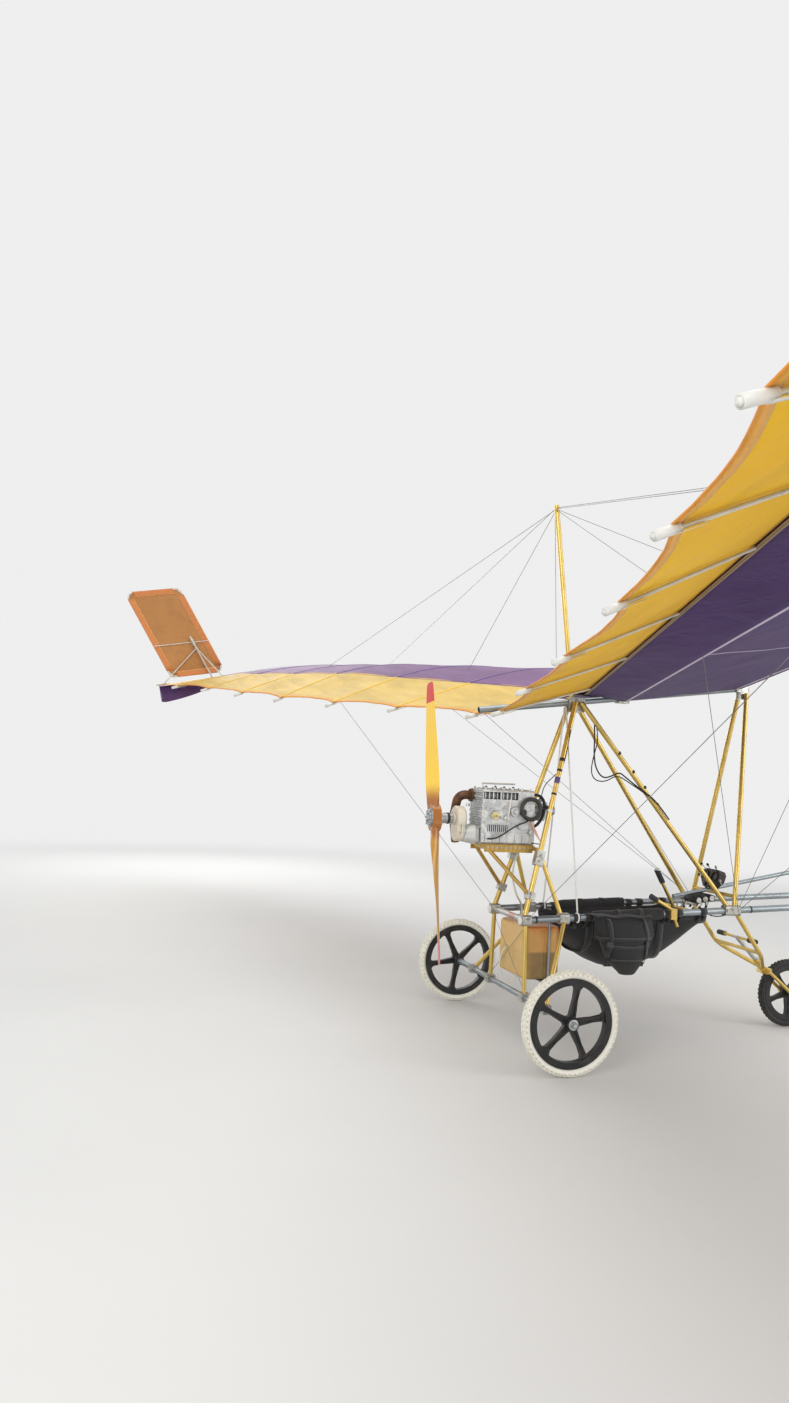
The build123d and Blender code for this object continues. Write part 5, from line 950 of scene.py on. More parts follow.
run_low, run_high, run_near, run_far = (
    edge + way * (RUDDER_CORNER + 0.012) for edge, way in (
        (RUDDER_FOOT, 1), (RUDDER_HEAD, -1), (RUDDER_NEAR, 1), (RUDDER_FAR, -1)))
hem_turn = [(-0.0095 * math.sin(a), 0.0095 * math.cos(a)) for a in steps(0.0, math.pi, 8)]
hem_side = [(RUDDER_HEM, 0.0009), (RUDDER_HEM * 0.5, 0.0022), (0.012, 0.0062)]
hem_section = hem_side + hem_turn + [(depth, -side) for depth, side in reversed(hem_side)]
for name, start, end, inward in (
    ("front", (RUDDER_NEAR, run_low), (RUDDER_NEAR, run_high), (1, 0)),
    ("rear", (RUDDER_FAR, run_low), (RUDDER_FAR, run_high), (-1, 0)),
    ("foot", (run_near, RUDDER_FOOT), (run_far, RUDDER_FOOT), (0, 1)),
    ("head", (run_near, RUDDER_HEAD), (run_far, RUDDER_HEAD), (0, -1)),
):
    runs = [Vector(blend(start, end, step / 12)) for step in range(13)]
    rudder_pieces.append(cloth_grid(
        f"rudder_hem_{name}_left",
        [[(rudder_point(*(along + Vector(inward) * depth), HALF_SPAN + side),
           (along.length, HEM_WIDTH * k / 14)) for k, (depth, side) in enumerate(hem_section)]
         for along in runs], orange_hem, 0.0009))
for side, sign in SIDES:
    cloth, *hems = (
        piece if sign > 0 else starboard_copy(piece) for piece in rudder_pieces)
    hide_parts(f"rudder_skin_{side}")
    for piece in (cloth, *hems):
        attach(piece, f"{side}_rudder")

# Canard. Yellow sailcloth in one sleeve over ribs, round at the nose and sewn at the tail, with a
# tape over each rib. It sits on four lugs above its hinge tube.
CANARD_CHORD, CANARD_DEPTH, CANARD_NOSE, CANARD_BASE = 0.52, 0.036, 3.34, 1.226
CANARD_GIRTH = 1.06
CANARD_RIBS = [-1.17, -0.88, -0.62, -0.36, -0.12, 0.12, 0.36, 0.62, 0.88, 1.17]


def canard_section(span):
    """Side-view points of the sleeve from its tail over the top and back below, at one span."""
    hollow = 0.003 * min(1.0, min(abs(span - rib) for rib in CANARD_RIBS) / 0.1)
    points = []
    for turn in steps(0.0, math.tau, 48):
        back = (1 + math.cos(turn)) / 2
        rise = CANARD_DEPTH * 0.62 * math.sin(turn) * (0.35 + 0.65 * math.sqrt(1 - back ** 2.2))
        rise = (rise - hollow if rise > 0 else rise * 0.35)
        height = CANARD_BASE + 0.0125 + rise * (1 if rise < 0 else 0.95) - 0.006 * back
        points.append(at(CANARD_NOSE - 0.004 - (CANARD_CHORD - 0.008) * back, span, height))
    return points


canard_spans = sorted({*CANARD_RIBS, *(-1.198 + 2.396 * k / 96 for k in range(97))})
canard_rows = [canard_section(span) for span in canard_spans]
canard_cloth = cloth_grid(
    "canard_cloth", [[(point, (span, CANARD_GIRTH * k / 48)) for k, point in enumerate(row)]
                     for span, row in zip(canard_spans, canard_rows)], yellow_cloth)
canard_tapes = [
    tape(f"canard_rib_tape_{number}", [p + UP * 0.0012 for p in canard_section(rib)[2:23]],
         UP, 0.03, yellow_tape)
    for number, rib in enumerate(CANARD_RIBS, 1)
]
canard_tapes.append(tape("canard_tail_hem", [row[0] + Vector((0.014, 0, 0.0030))
                                             for row in canard_rows], UP, 0.03, hem_tape))
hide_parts("canard_skin")
for piece in (canard_cloth, *canard_tapes):
    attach(piece, "canard")

# Seat. Heavy black cloth hung as a hammock between the longerons, hemmed all round, with webbing
# sewn under it and looped over the tubes.
SEAT_ENDS, SEAT_HALF, SEAT_CLOTH = (0.262, 1.14), 0.181, 0.003
SEAT_UNDERSIDE = [(0.262, 0.628), (0.33, 0.520), (0.46, 0.412), (0.60, 0.372), (0.78, 0.392),
                  (0.96, 0.490), (1.14, 0.640)]
LONGERON_TAIL, LONGERON_NODE, LONGERON_RADIUS = (-0.015, 0.655), (1.302, 0.722), 0.019


def longeron_height(forward):
    share = (forward - LONGERON_TAIL[0]) / (LONGERON_NODE[0] - LONGERON_TAIL[0])
    return blend(LONGERON_TAIL[1], LONGERON_NODE[1], share)


def on_longeron(forward, sign):
    """Point of a longeron's middle line beside the seat."""
    return at(forward, sign * LONGERON_SIDE, longeron_height(forward))


def seat_depth(forward):
    """Height of the cloth's lowest line at a forward place, on a smooth curve."""
    number, s = gap_at([x for x, _ in SEAT_UNDERSIDE], forward)
    (x0, z0), (x1, z1) = SEAT_UNDERSIDE[number:number + 2]
    before, after = SEAT_UNDERSIDE[max(number - 1, 0)], SEAT_UNDERSIDE[:number + 3][-1]
    start = (z1 - before[1]) / (x1 - before[0]) * (x1 - x0)
    end = (after[1] - z0) / (after[0] - x0) * (x1 - x0)
    return (
        (2 * s ** 3 - 3 * s ** 2 + 1) * z0 + (s ** 3 - 2 * s ** 2 + s) * start
        + (3 * s ** 2 - 2 * s ** 3) * z1 + (s ** 3 - s ** 2) * end
    ) + 0.006


def seat_point(forward, swing, out=0.0):
    """Point of the sling: swing runs from -1 at the starboard edge to 1 at the port edge."""
    top = longeron_height(forward) - 0.016
    turn = swing * math.pi / 2
    depth = top - seat_depth(forward)
    crease = rumple((1, forward * 5, swing * 2.2, 4.4), (0.6, forward * 13, swing * 5, 9.1))
    pull = 0.007 * crease * math.cos(turn) ** 0.5 if abs(swing) < 0.999 else 0.0
    side = math.copysign(abs(math.sin(turn)) ** 0.62, turn)
    low = max(0.0, math.cos(turn)) ** 0.62
    return at(forward, side * (SEAT_HALF + out) - pull * side * 0.6,
              top - (depth + out) * low + abs(pull) * (0.4 + low) * 0.5)


nylon = Finish("black_nylon", sheen_weight=0.14, sheen_roughness=0.5)
weave = (nylon.along("U") * 420).wave() * 0.5 + (nylon.along("V") * 420).wave() * 0.5
fade = nylon.noise(5, 5, bend=0.6).between(0.4, 0.75)
dust = nylon.noise(60, 6, roughness=0.75).between(0.55, 0.8)
nylon.paint(
    base_color=nylon.coats(
        (16, 16, 17), ((31, 30, 32), fade * 0.7 + weave * 0.3), ((104, 100, 94), dust * 0.16)),
    roughness=0.62 + weave * 0.18,
    normal=nylon.bump(weave * 0.4 + fade * 0.8, 0.0012),
)
WEBBING_WIDTH, STRAP_THICK, SEAT_STEPS = 0.045, 0.0018, 56
webbing = sewn_tape("black_webbing", (34, 34, 36), (120, 118, 112), WEBBING_WIDTH)
seat_lines = steps(*SEAT_ENDS, 60)
swings = [-1 + 2 * k / SEAT_STEPS for k in range(SEAT_STEPS + 1)]
sling = cloth_grid(
    "seat_sling_cloth",
    [[(seat_point(x, s), (x, s * 0.42)) for s in swings] for x in seat_lines], nylon, SEAT_CLOTH)
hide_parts("seat_sling")
straps = []
for name, forward in (("rear", 0.282), ("back", 0.40), ("middle", 0.60), ("thigh", 0.84),
                      ("front", 1.118)):
    line = [seat_point(forward, s, 0.0035) for s in swings]
    runs = [line[min(i + 1, SEAT_STEPS)] - line[max(i - 1, 0)] for i in range(SEAT_STEPS + 1)]
    straps.append(tape(f"seat_band_{name}", line, [Vector((0, run.z, -run.y)) for run in runs],
                       WEBBING_WIDTH, webbing, STRAP_THICK))
for side, sign in SIDES:
    outward = Vector((0, sign, 0))
    straps.append(tape(f"seat_edge_{side}", [seat_point(x, sign * 0.985, 0.002)
                                             for x in seat_lines],
                       outward, 0.03, webbing, STRAP_THICK))
    for number, forward in enumerate((0.30, 0.372, 0.862, 0.935, 1.092), 1):
        middle = on_longeron(forward, sign)
        reach = LONGERON_RADIUS + 0.0012
        loop = [middle + reach * Vector((0, -sign * math.cos(a), math.sin(a)))
                for a in (math.radians(-62 + 12 * k) for k in range(27))]
        foot = at(forward, sign * 0.1845, longeron_height(forward) - 0.062)
        straps.append(tape(f"seat_loop_{number}_{side}", [foot, *loop],
                           [outward, *(p - middle for p in loop)], 0.04, webbing, STRAP_THICK))
for piece in (sling, *straps):
    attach(piece, "airframe")

# Padded rolls and saddle bag. Black nylon over foam, sewn closed, the rolls strapped round the
# longerons. The bag hangs outside the near one, with a flap, a pocket and buckled straps.


def pick(piece, wanted):
    """Opens a piece for editing with just the faces selected whose middle and normal are wanted."""
    take_up(piece)
    bpy.ops.object.mode_set(mode="EDIT")
    bpy.ops.mesh.select_mode(type="FACE")
    bpy.ops.mesh.select_all(action="DESELECT")
    shape = bmesh.from_edit_mesh(piece.data)
    for face in shape.faces:
        if wanted(face.calc_center_median(), face.normal):
            face.select_set(True)
    bmesh.update_edit_mesh(piece.data)


def put_down(piece):
    """Closes a piece after editing and leaves nothing selected."""
    bpy.ops.object.mode_set(mode="OBJECT")
    piece.select_set(False)


def plump(piece, pressure, reach):
    """Fills a closed shape with air as cloth, lets no point move further than its reach."""
    start = [vertex.co.copy() for vertex in piece.data.vertices]
    settings = piece.modifiers.new("cloth", "CLOTH")
    settings.point_cache.frame_end = 20
    settings = settings.settings
    settings.use_pressure, settings.uniform_pressure_force = True, pressure
    settings.effector_weights.gravity, settings.quality = 0, 4
    settings.tension_stiffness = settings.compression_stiffness = 12
    settings.bending_stiffness = 0.6
    for frame_number in range(1, 21):
        bpy.context.scene.frame_set(frame_number)
    settle(piece)
    bpy.context.scene.frame_set(1)
    for vertex, home in zip(piece.data.vertices, start):
        move = vertex.co - home
        if move.length > reach:
            vertex.co = home + move * (reach / move.length)


def padded(piece, voxel, pressure, reach, node):
    """Remeshes a closed shape evenly, smooths it and plumps it, as one padded piece."""
    modify(piece, "REMESH", mode="VOXEL", voxel_size=voxel)
    modify(piece, "SMOOTH", iterations=4)
    plump(piece, pressure, reach)
    piece.data.shade_smooth()
    cordura.cover(piece)
    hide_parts(node)


cordura = Finish("black_cordura", sheen_weight=0.12, sheen_roughness=0.5)
yarn = cordura.place((1, 1, 1), turn=(0, 0.05, 0))
weave = (cordura.axis("X", yarn) * 520).wave() * (cordura.axis("Z", yarn) * 520).wave()
rub = cordura.noise(7, 5, bend=0.8).between(0.42, 0.75)
lint = cordura.noise(90, 6, roughness=0.8).between(0.58, 0.8)
creases = cordura.noise(16, 6, cordura.place((1, 1, 0.5)), 0.6, 1.4)
cordura.paint(
    base_color=cordura.coats(
        (17, 17, 18), ((36, 35, 37), rub * 0.7 + weave * 0.2), ((104, 100, 94), lint * 0.16)),
    roughness=0.6 + weave * 0.15 + rub * 0.1,
    normal=cordura.bump(weave * 0.15 + creases * 1.2, 0.004),
)
ROLL_ENDS, ROLL_RADIUS, ROLL_FLAT = (0.402, 0.828), 0.0335, 0.0262
ROLL_SEAMS = (0.012, 0.145, 0.283, 0.414)
rolls, trim = [], []
for side, sign in SIDES:
    tail, nose = (on_longeron(x, sign) for x in ROLL_ENDS)
    roll = solid(f"seat_roll_{side}", "cylinder", vertices=56, radius=ROLL_RADIUS,
                 depth=(nose - tail).length)
    roll.data.transform(facing((tail + nose) / 2, nose - tail))
    bpy.ops.object.mode_set(mode="EDIT")
    bpy.ops.mesh.select_all(action="SELECT")
    bpy.ops.mesh.bisect(
        plane_co=at(0, sign * (LONGERON_SIDE - ROLL_FLAT), 0.6), plane_no=(0, -sign, 0),
        clear_outer=True, use_fill=True)
    put_down(roll)
    ease_edges(roll, 0.008, 3)
    padded(roll, 0.005, 3.0, 0.0028, "seat_rolls")
    along = (nose - tail).normalized()
    for vertex in roll.data.vertices:
        run = (vertex.co - tail).dot(along)
        pinch = sum(math.exp(-((run - seam) / 0.007) ** 2) for seam in ROLL_SEAMS)
        vertex.co = (tail + along * run).lerp(vertex.co, 1 - 0.075 * min(1.0, pinch))
    rolls.append(roll)
    for number, run in enumerate(ROLL_SEAMS[1:3], 1):
        outward = [Vector((0, sign * math.cos(turn), math.sin(turn)))
                   for turn in (math.radians(-128 + 256 * step / 36) for step in range(37))]
        ring = [tail + along * run + out * (ROLL_RADIUS + 0.0006) for out in outward]
        trim.append(tape(
            f"seat_roll_strap_{number}_{side}", ring, outward, 0.025, webbing, STRAP_THICK))

# height, rear end, front end and thickness of the bag
BAG_LEVELS = [(0.368, 0.548, 0.637, 0.040), (0.450, 0.455, 0.681, 0.078),
              (0.600, 0.390, 0.725, 0.088), (0.684, 0.384, 0.720, 0.042)]
BAG_INNER, STRAP_PLACES = -0.2575, (0.452, 0.668)
FLAP_TOP, FLAP_LENGTH, FLAP_TURN = 0.681, 0.24, 0.35    # the turn is the share over the bag's top
bag = solid("saddle_bag_body", "cube", size=1)
bpy.ops.object.mode_set(mode="EDIT")
bpy.ops.mesh.select_all(action="SELECT")
bpy.ops.mesh.subdivide(number_cuts=11)
put_down(bag)
for vertex in bag.data.vertices:
    height = blend(BAG_LEVELS[0][0], BAG_LEVELS[-1][0], vertex.co.z + 0.5)
    _, rear, front, thick = row_at(BAG_LEVELS, height)
    across = vertex.co.x * 2
    crown = (1 - 0.55 * abs(across) ** 3) * (1 - 0.35 * abs(vertex.co.z * 2) ** 4)
    depth = (vertex.co.y - 0.5) * thick * crown
    vertex.co = at(blend(rear, front, vertex.co.x + 0.5), BAG_INNER + depth, height)
padded(bag, 0.006, 4.0, 0.007, "saddle_bag")
bag_skin = BVHTree.FromObject(bag, bpy.context.evaluated_depsgraph_get())


def on_bag(forward, height, lift=0.0012):
    """Point on the bag's outer face and the face's normal there."""
    hit, normal, _, _ = bag_skin.ray_cast(at(forward, -0.6, height), Vector((0, 1, 0)))
    if hit is None:
        hit, normal = at(forward, BAG_INNER - 0.02, height), Vector((0, -1, 0))
    return hit + normal * lift, normal


def sewn_on(name, places, width, lift=0.0012):
    """Webbing sewn to the bag along places given forward and up."""
    points, normals = zip(*(on_bag(*place, lift) for place in places))
    trim.append(tape(name, points, normals, width, webbing, 0.0016))


flap_rows = []
for forward in steps(0.376, 0.729, 24):
    drape = []
    for k, share in enumerate(steps(0.0, 1.0, 14)):
        if share < FLAP_TURN:
            turn = share / FLAP_TURN * math.pi / 2
            y = blend(-0.222, BAG_INNER - 0.048, math.sin(turn))
            z = blend(0.696, FLAP_TOP, 1 - math.cos(turn)) - 0.004 * math.sin(forward * 40)
        else:
            z = FLAP_TOP - (share - FLAP_TURN) / (1 - FLAP_TURN) * (
                0.112 + 0.012 * math.sin(forward * 17))
            y = on_bag(min(max(forward, 0.395), 0.712), z, 0.0045)[0].y - 0.001
        drape.append((at(forward, y, z), (forward, FLAP_LENGTH * k / 14)))
    flap_rows.append(drape)
flap = cloth_grid("saddle_bag_flap", flap_rows, nylon, 0.0022)
sewn_on("saddle_bag_hem", [(x, 0.578) for x in steps(0.385, 0.725, 30)], 0.018, 0.0068)
sewn_on("saddle_bag_seam_low", [(x, 0.462) for x in steps(0.47, 0.67, 24)], 0.012)
sewn_on("saddle_bag_pocket", [(0.44 + 0.235 * s, 0.540 - 0.010 * hump(s)) for s in SHARES],
        0.02)
buckle_plastic = moulded("buckle_plastic", (58, 60, 62), (120, 118, 112), 0.3)
for number, forward in enumerate(STRAP_PLACES, 1):
    sewn_on(f"saddle_bag_strap_{number}", [(forward, 0.672 - 0.0125 * k) for k in range(21)],
            0.025, 0.0075)
    middle, normal = on_bag(forward, 0.552, 0.0115)
    buckle = solid(f"saddle_bag_buckle_{number}", "cube", size=1)
    buckle.data.transform(Matrix.Diagonal((0.036, 0.006, 0.030, 1)))
    pick(buckle, lambda place, out: out.y < -0.5)
    bpy.ops.mesh.inset(thickness=0.005, depth=-0.003)
    bpy.ops.mesh.inset(thickness=0.003, depth=0.0024)
    put_down(buckle)
    ease_edges(buckle, 0.0012, 2)
    buckle.data.transform(facing(middle, -normal, "Y", "Z"))
    buckle_plastic.cover(buckle)
    trim.append(buckle)
for piece in (*rolls, bag, flap, *trim):
    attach(piece, "airframe")

# Propeller. Laminated wood under yellow lacquer, its layers flat across the shaft, red at the
# tips and brown near the hub; the blade below the hub is painted brown too, as painted shade.
HUB_FORWARD, HUB_UP = -0.47, 1.175
DIP_RADIUS = 0.663
wood = Finish("painted_wood", coat_weight=0.5, coat_roughness=0.12)
wood_place = wood.place((1, 1, 1), (-AXLE_X - HUB_FORWARD, 0, -HUB_UP))
wood_x, wood_y, wood_z = (wood.axis(letter, wood_place) for letter in "XYZ")
grain = wood.noise(30, 4, wood.place((1, 0.5, 6)), bend=1.2)
layer = (wood_x * 145 + grain * 0.35).wave()
radius = (wood_y * wood_y + wood_z * wood_z) ** 0.5
dipped = (radius + grain * 0.002).between(DIP_RADIUS - 0.001, DIP_RADIUS + 0.001)
chips = wood.noise(70, 6, roughness=0.8).between(0.66, 0.72)
hub_brown_and_lower_shade = 1 - radius.between(0.09, 0.2)
# Brown near the hub, and on the blade below the hub as painted shade.
wood.paint(
    base_color=wood.coats(
        (254, 216, 84), ((246, 192, 56), layer * 0.5 + grain * 0.3),
        ((168, 104, 44), hub_brown_and_lower_shade.most((0 - wood_z).between(-0.06, 0.06) * 0.72)),
        ((214, 58, 56), dipped), ((150, 104, 60), chips * 0.5),
    ),
    roughness=grain * 0.1 + chips * 0.3 + 0.28,
    normal=wood.bump(layer * 0.3 + chips + grain * 0.5, 0.0004),
).cover("propeller")

# Rigging. Stranded steel stays, and white braided ropes under the keel.


def twisted(name, pale, dark, across, along, most, depth, **constants):
    """Strands or plaits in lines that run round a wire or rope."""
    finish = Finish(name, **constants)
    twist = (finish.axis("Z") * across + finish.axis("Y") * along).wave()
    return finish.paint(
        base_color=finish.mix(pale, dark, twist * most if most < 1 else twist),
        normal=finish.bump(twist, depth),
    )


wire_steel = twisted("wire_steel", (150, 152, 152), (96, 98, 98), 240, 120, 1, 0.0004,
                     metallic=0.9, roughness=0.35)
wire_steel.cover("rigging_wires")
twisted("rope", (252, 251, 248), (226, 225, 220), 150, 90, 0.5, 0.0015,
        roughness=0.85, sheen_weight=0.3).cover("seat_ropes")

# Fasteners and caps. Plated hexagon bolts on washers hold the saddles and clamps, the tray, the
# engine block, the wheels and the propeller, and caps close the longerons and the hubs.


def rod(name, start, end, radius, finish, taper=1.0, sides=24, body="airframe"):
    """A turned rod or sleeve with rounded rims, and a taper where it has one."""
    start, end = place_of(start), place_of(end)
    piece = solid(name, "cone", vertices=sides, radius1=radius, radius2=radius * taper,
                  depth=(end - start).length)
    piece.data.transform(facing((start + end) / 2, end - start))
    ease_edges(piece, radius * 0.14, 2)
    smooth_by_angle(piece, 40)
    finish.cover(piece)
    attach(piece, body)


def bolts(name, size, places, body="airframe"):
    """Hexagon bolts on their washers, one at each place, pointing the way given with it."""
    washer = solid("washer", "cylinder", vertices=16, radius=size * 1.45, depth=size * 0.3,
                   location=(0, 0, size * 0.1))
    bpy.ops.mesh.primitive_cylinder_add(vertices=6, radius=size, depth=size * 0.9,
                                        location=(0, 0, size * 0.65))
    washer.select_set(True)
    bpy.ops.object.transform_apply()
    bpy.ops.object.join()
    master = bpy.context.object
    ease_edges(master, size * 0.09, 1)
    shape = bmesh.new()
    for place, way in places:
        before = len(shape.verts)
        shape.from_mesh(master.data)
        shape.verts.ensure_lookup_table()
        bmesh.ops.transform(shape, matrix=facing(place_of(place), way),
                            verts=shape.verts[before:])
    mesh = bpy.data.meshes.new(name)
    shape.to_mesh(mesh)
    shape.free()
    bpy.data.objects.remove(master)
    piece = link(name, mesh)
    plated_steel.cover(piece)
    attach(piece, body)


saddle_bolts, clamp_bolts, tray_bolts = [], [], []
for side, sign in SIDES:
    outward = (0, sign, 0)
    for forward, length in ((-0.001, 0.052), (0.222, 0.056), (1.280, 0.100), (3.060, 0.056)):
        for step in (-1, 1):
            place = on_longeron(forward, sign)
            place += Vector((step * (length / 2 - 0.013), sign * 0.0252, 0))
            saddle_bolts.append((place, outward))
    for forward, left, up in ((0.0847, 0.1673, 0.985), (0.0276, 0.197, 0.784)):
        for step in (-0.013, 0.013):
            place = (forward + step * 0.28, sign * (left + 0.0242 - step * 0.14), up + step)
            clamp_bolts.append((place, (0, sign, 0.15)))
    for left in (0.236, 0.500):
        for way in (1, -1):
            for step in (-0.016, 0.016):
                place = (way * 0.0232, sign * left + step, AXLE_UP)
                clamp_bolts.append((place, (way, 0, 0)))
    tray_bolts += [((-0.1905 + 0.027 * k, sign * 0.1042, 1.030), outward) for k in range(10)]
    rod(f"longeron_cap_{side}", (-0.0375, sign * LONGERON_SIDE, 0.654),
        (-0.0272, sign * LONGERON_SIDE, 0.6543), LONGERON_RADIUS + 0.0035, white_plastic)
    rod(f"hub_cap_{side}", (0, sign * 0.8161, AXLE_UP), (0, sign * 0.8168, AXLE_UP), 0.0265,
        bright_alloy, 0.9, body=f"{side}_wheel")
bolts("saddle_bolts", 0.0062, saddle_bolts)
bolts("clamp_bolts", 0.0052, clamp_bolts)
bolts("tray_bolts", 0.0044, tray_bolts)
bolts("block_bolts", 0.0042, [((x / 1000, -0.0922, z / 1000), (0, -1, 0)) for x, z in (
    (-214, 1112), (-214, 1164), (-120, 1196), (-55, 1164), (45, 1196), (62, 1240), (-180, 1240),
    (-100, 1246), (30, 1112), (70, 1064), (-214, 1064), (-20, 1086), (-130, 1086))])
bolts("hub_nut_bolts", 0.0095, [((0, sign * 0.8245, AXLE_UP), (0, sign, 0)) for _, sign in SIDES])
bolts("prop_nuts", 0.0058, [
    ((-0.5070, 0.038 * math.cos(a), HUB_UP + 0.038 * math.sin(a)), (-1, 0, 0))
    for a in (math.tau * k / 6 for k in range(6))], "propeller")
rod("shaft_spacer", (-0.404, 0, HUB_UP), (-0.386, 0, HUB_UP), 0.0312, grip_rubber,
    body="propeller")

# Engine dressing. Rubber hoses and leads run from stub to stub, with a loom of thin wires at the
# front corner, and fittings and a white lever on the near side.


def cable(name, radius, finish, stiffness, *places):
    """A cord on one smooth line past its places, given in millimetres forward, left and up."""
    points = [at(*(number / 1000 for number in place)) for place in places]
    piece, line = curve_past(name, "NURBS", points, radius, 3)
    line.order_u, line.use_endpoint_u = 3, True
    finish.cover(piece)
    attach(piece, "airframe")


loom_rubbers = (moulded("orange_wire", (222, 116, 40), (160, 96, 50), 0.45),
                moulded("white_wire", (226, 226, 222), (170, 168, 160), 0.45))
cable("starter_cable", 0.0042, hose_rubber, "stiff",
      (-196, -100, 1078), (-170, -112, 1074), (-120, -120, 1098), (-60, -122, 1140),
      (-10, -122, 1166), (30, -118, 1176), (48, -112, 1196))
cable("breather_hose", 0.0075, hose_rubber, "stiff",
      (112, -112, 1252), (130, -112, 1254), (158, -98, 1258), (176, -70, 1262), (180, -40, 1262))
cable("coolant_hose", 0.0085, hose_rubber, "stiff",
      (70, -60, 1320), (90, -70, 1328), (128, -76, 1318), (150, -76, 1280), (148, -72, 1222),
      (126, -70, 1176), (98, -70, 1150), (86, -70, 1150))
cable("fuel_hose", 0.0056, clear_hose, "medium",
      (124, 110, 640), (124, 108, 672), (100, 80, 712), (46, 30, 762), (10, 10, 860),
      (14, 6, 930), (30, 4, 985), (50, 0, 1038))
cable("tank_drain_hose", 0.0036, clear_hose, "medium",
      (40, -40, 322), (30, -40, 305), (-6, -30, 282), (-34, -10, 300), (-44, 6, 340),
      (-40, 20, 392), (-24, 30, 440), (0, 34, 470), (12, 36, 474))
cable("throttle_cable", 0.0026, hose_rubber, "medium",
      (158, -10, 1300), (158, -10, 1330), (172, -24, 1390), (208, -70, 1440), (246, -98, 1500),
      (270, -88, 1600), (290, -78, 1700))
cable("battery_cable", 0.0028, hose_rubber, "medium",
      (70, -98, 1062), (90, -104, 1056), (112, -126, 1060), (108, -150, 1030), (100, -166, 1010))
for number in range(5):
    shift = number * 5
    cable(f"loom_wire_{number + 1}", 0.0014, loom_rubbers[number % 2], "limp",
          (50 + shift, -100, 1186 - shift), (64 + shift, -107, 1158 - shift),
          (74 + shift, -107 - shift * 0.5, 1130 - shift),
          (88 + shift * 0.6, -106 - shift * 0.3, 1106 - shift * 0.4),
          (102 + shift * 0.3, -114, 1088), (112, -126, 1070))
for number, forward in enumerate((-0.196, -0.140, -0.088, -0.034), 1):
    rod(f"plug_cap_{number}", (forward, -0.050, 1.3465), (forward, -0.050, 1.364), 0.0075,
        grip_rubber, 0.8)
for number, (forward, up) in enumerate(((0.100, 1.232), (0.196, 1.244), (0.140, 1.282)), 1):
    rod(f"carburettor_fitting_{number}", (forward, -0.0392, up), (forward, -0.050, up), 0.0088,
        bright_alloy, 0.85, 12)
rod("engine_lever", (-0.082, -0.106, 1.183), (-0.067, -0.106, 1.300), 0.0034, white_plastic)
rod("engine_lever_pivot", (-0.082, -0.1042, 1.184), (-0.082, -0.112, 1.184), 0.008, plated_steel)
rod("oil_pressure_fitting", (-0.156, -0.1222, 1.203), (-0.156, -0.136, 1.203), 0.0062, brass,
    0.7, 6)
rod("temperature_sender", (-0.038, -0.1042, 1.227), (-0.038, -0.111, 1.227), 0.014,
    plated_steel, 0.9)
rod("cap_rim", (0.008, -0.1142, 1.226), (0.008, -0.118, 1.226), 0.0165, grip_rubber, 0.9)
rod("bell_fitting", (-0.285, -0.012, 1.246), (-0.285, -0.012, 1.262), 0.011, bright_alloy, 0.8)
rod("carburettor_top", (0.158, -0.010, 1.3022), (0.158, -0.010, 1.314), 0.013, grip_rubber, 0.7)

# Cockpit dressing. Dials, levers and knobs round the pod, switches below the boom, ties and
# wraps on the tubes, and a pair of cables tied along the near forward strut.
POD_TILT, POD_FACE = math.radians(18), at(1.262, 0, 0.8152)
back = Vector((-math.cos(POD_TILT), 0, math.sin(POD_TILT)))
rise = Vector((math.sin(POD_TILT), 0, math.cos(POD_TILT)))
for number, (left, up, radius) in enumerate(
        ((0.046, 0.072, 0.0255), (-0.046, 0.072, 0.0255), (0.0, 0.020, 0.0195)), 1):
    spot = POD_FACE + rise * up + Vector((0, left, 0))
    rod(f"dial_face_{number}", spot + back * 0.0006, spot + back * 0.0032, radius, white_plastic)
    rod(f"dial_glass_rim_{number}", spot + back * 0.0034, spot + back * 0.0048, radius * 0.16,
        grip_rubber)
    pivot = spot + back * 0.0044
    needle = Vector((0, math.sin(number * 2.1), 0)) + rise * math.cos(number * 2.1)
    rod(f"dial_needle_{number}", pivot, pivot + needle * radius * 0.75, 0.0011, hose_rubber,
        0.4, 8)
for number, (forward, left, up, lean) in enumerate((
        (1.300, 0.100, 0.864, 0.3), (1.300, -0.100, 0.864, -0.25), (1.292, 0.060, 0.936, 0.1),
        (1.292, -0.060, 0.936, -0.1), (1.286, 0.0, 0.940, 0.0)), 1):
    foot = at(forward, left * 0.86, up - 0.012)
    tip = foot + Vector((-0.020, math.copysign(0.018, left) if left else 0, 0.026 + lean * 0.02))
    rod(f"pod_lever_{number}", foot, tip, 0.0032, plated_steel, 0.9, 12)
    rod(f"pod_knob_{number}", tip, tip + (tip - foot).normalized() * 0.014, 0.0082,
        grip_rubber if number % 2 else bright_alloy, 0.75, 16)
for number, forward in enumerate((1.166, 1.210, 1.254), 1):
    up = 0.7685 + 0.15 * (forward - 1.034) - 0.0333     # below the sloping boom
    rod(f"switch_body_{number}", (forward, -0.066, up), (forward, 0.066, up), 0.0212, grip_rubber)
    for side, sign in SIDES:
        rod(f"switch_end_{number}_{side}", (forward, sign * 0.0655, up),
            (forward, sign * 0.0695, up), 0.0165, (plated_steel, white_plastic)[number % 2], 0.9)
        rod(f"switch_lever_{number}_{side}", (forward, sign * 0.040, up - 0.020),
            (forward - 0.024, sign * 0.046, up - 0.048), 0.0034, plated_steel, 0.9, 12)
        rod(f"switch_knob_{number}_{side}", (forward - 0.022, sign * 0.0455, up - 0.046),
            (forward - 0.031, sign * 0.048, up - 0.060), 0.0078, grip_rubber, 0.8, 16)
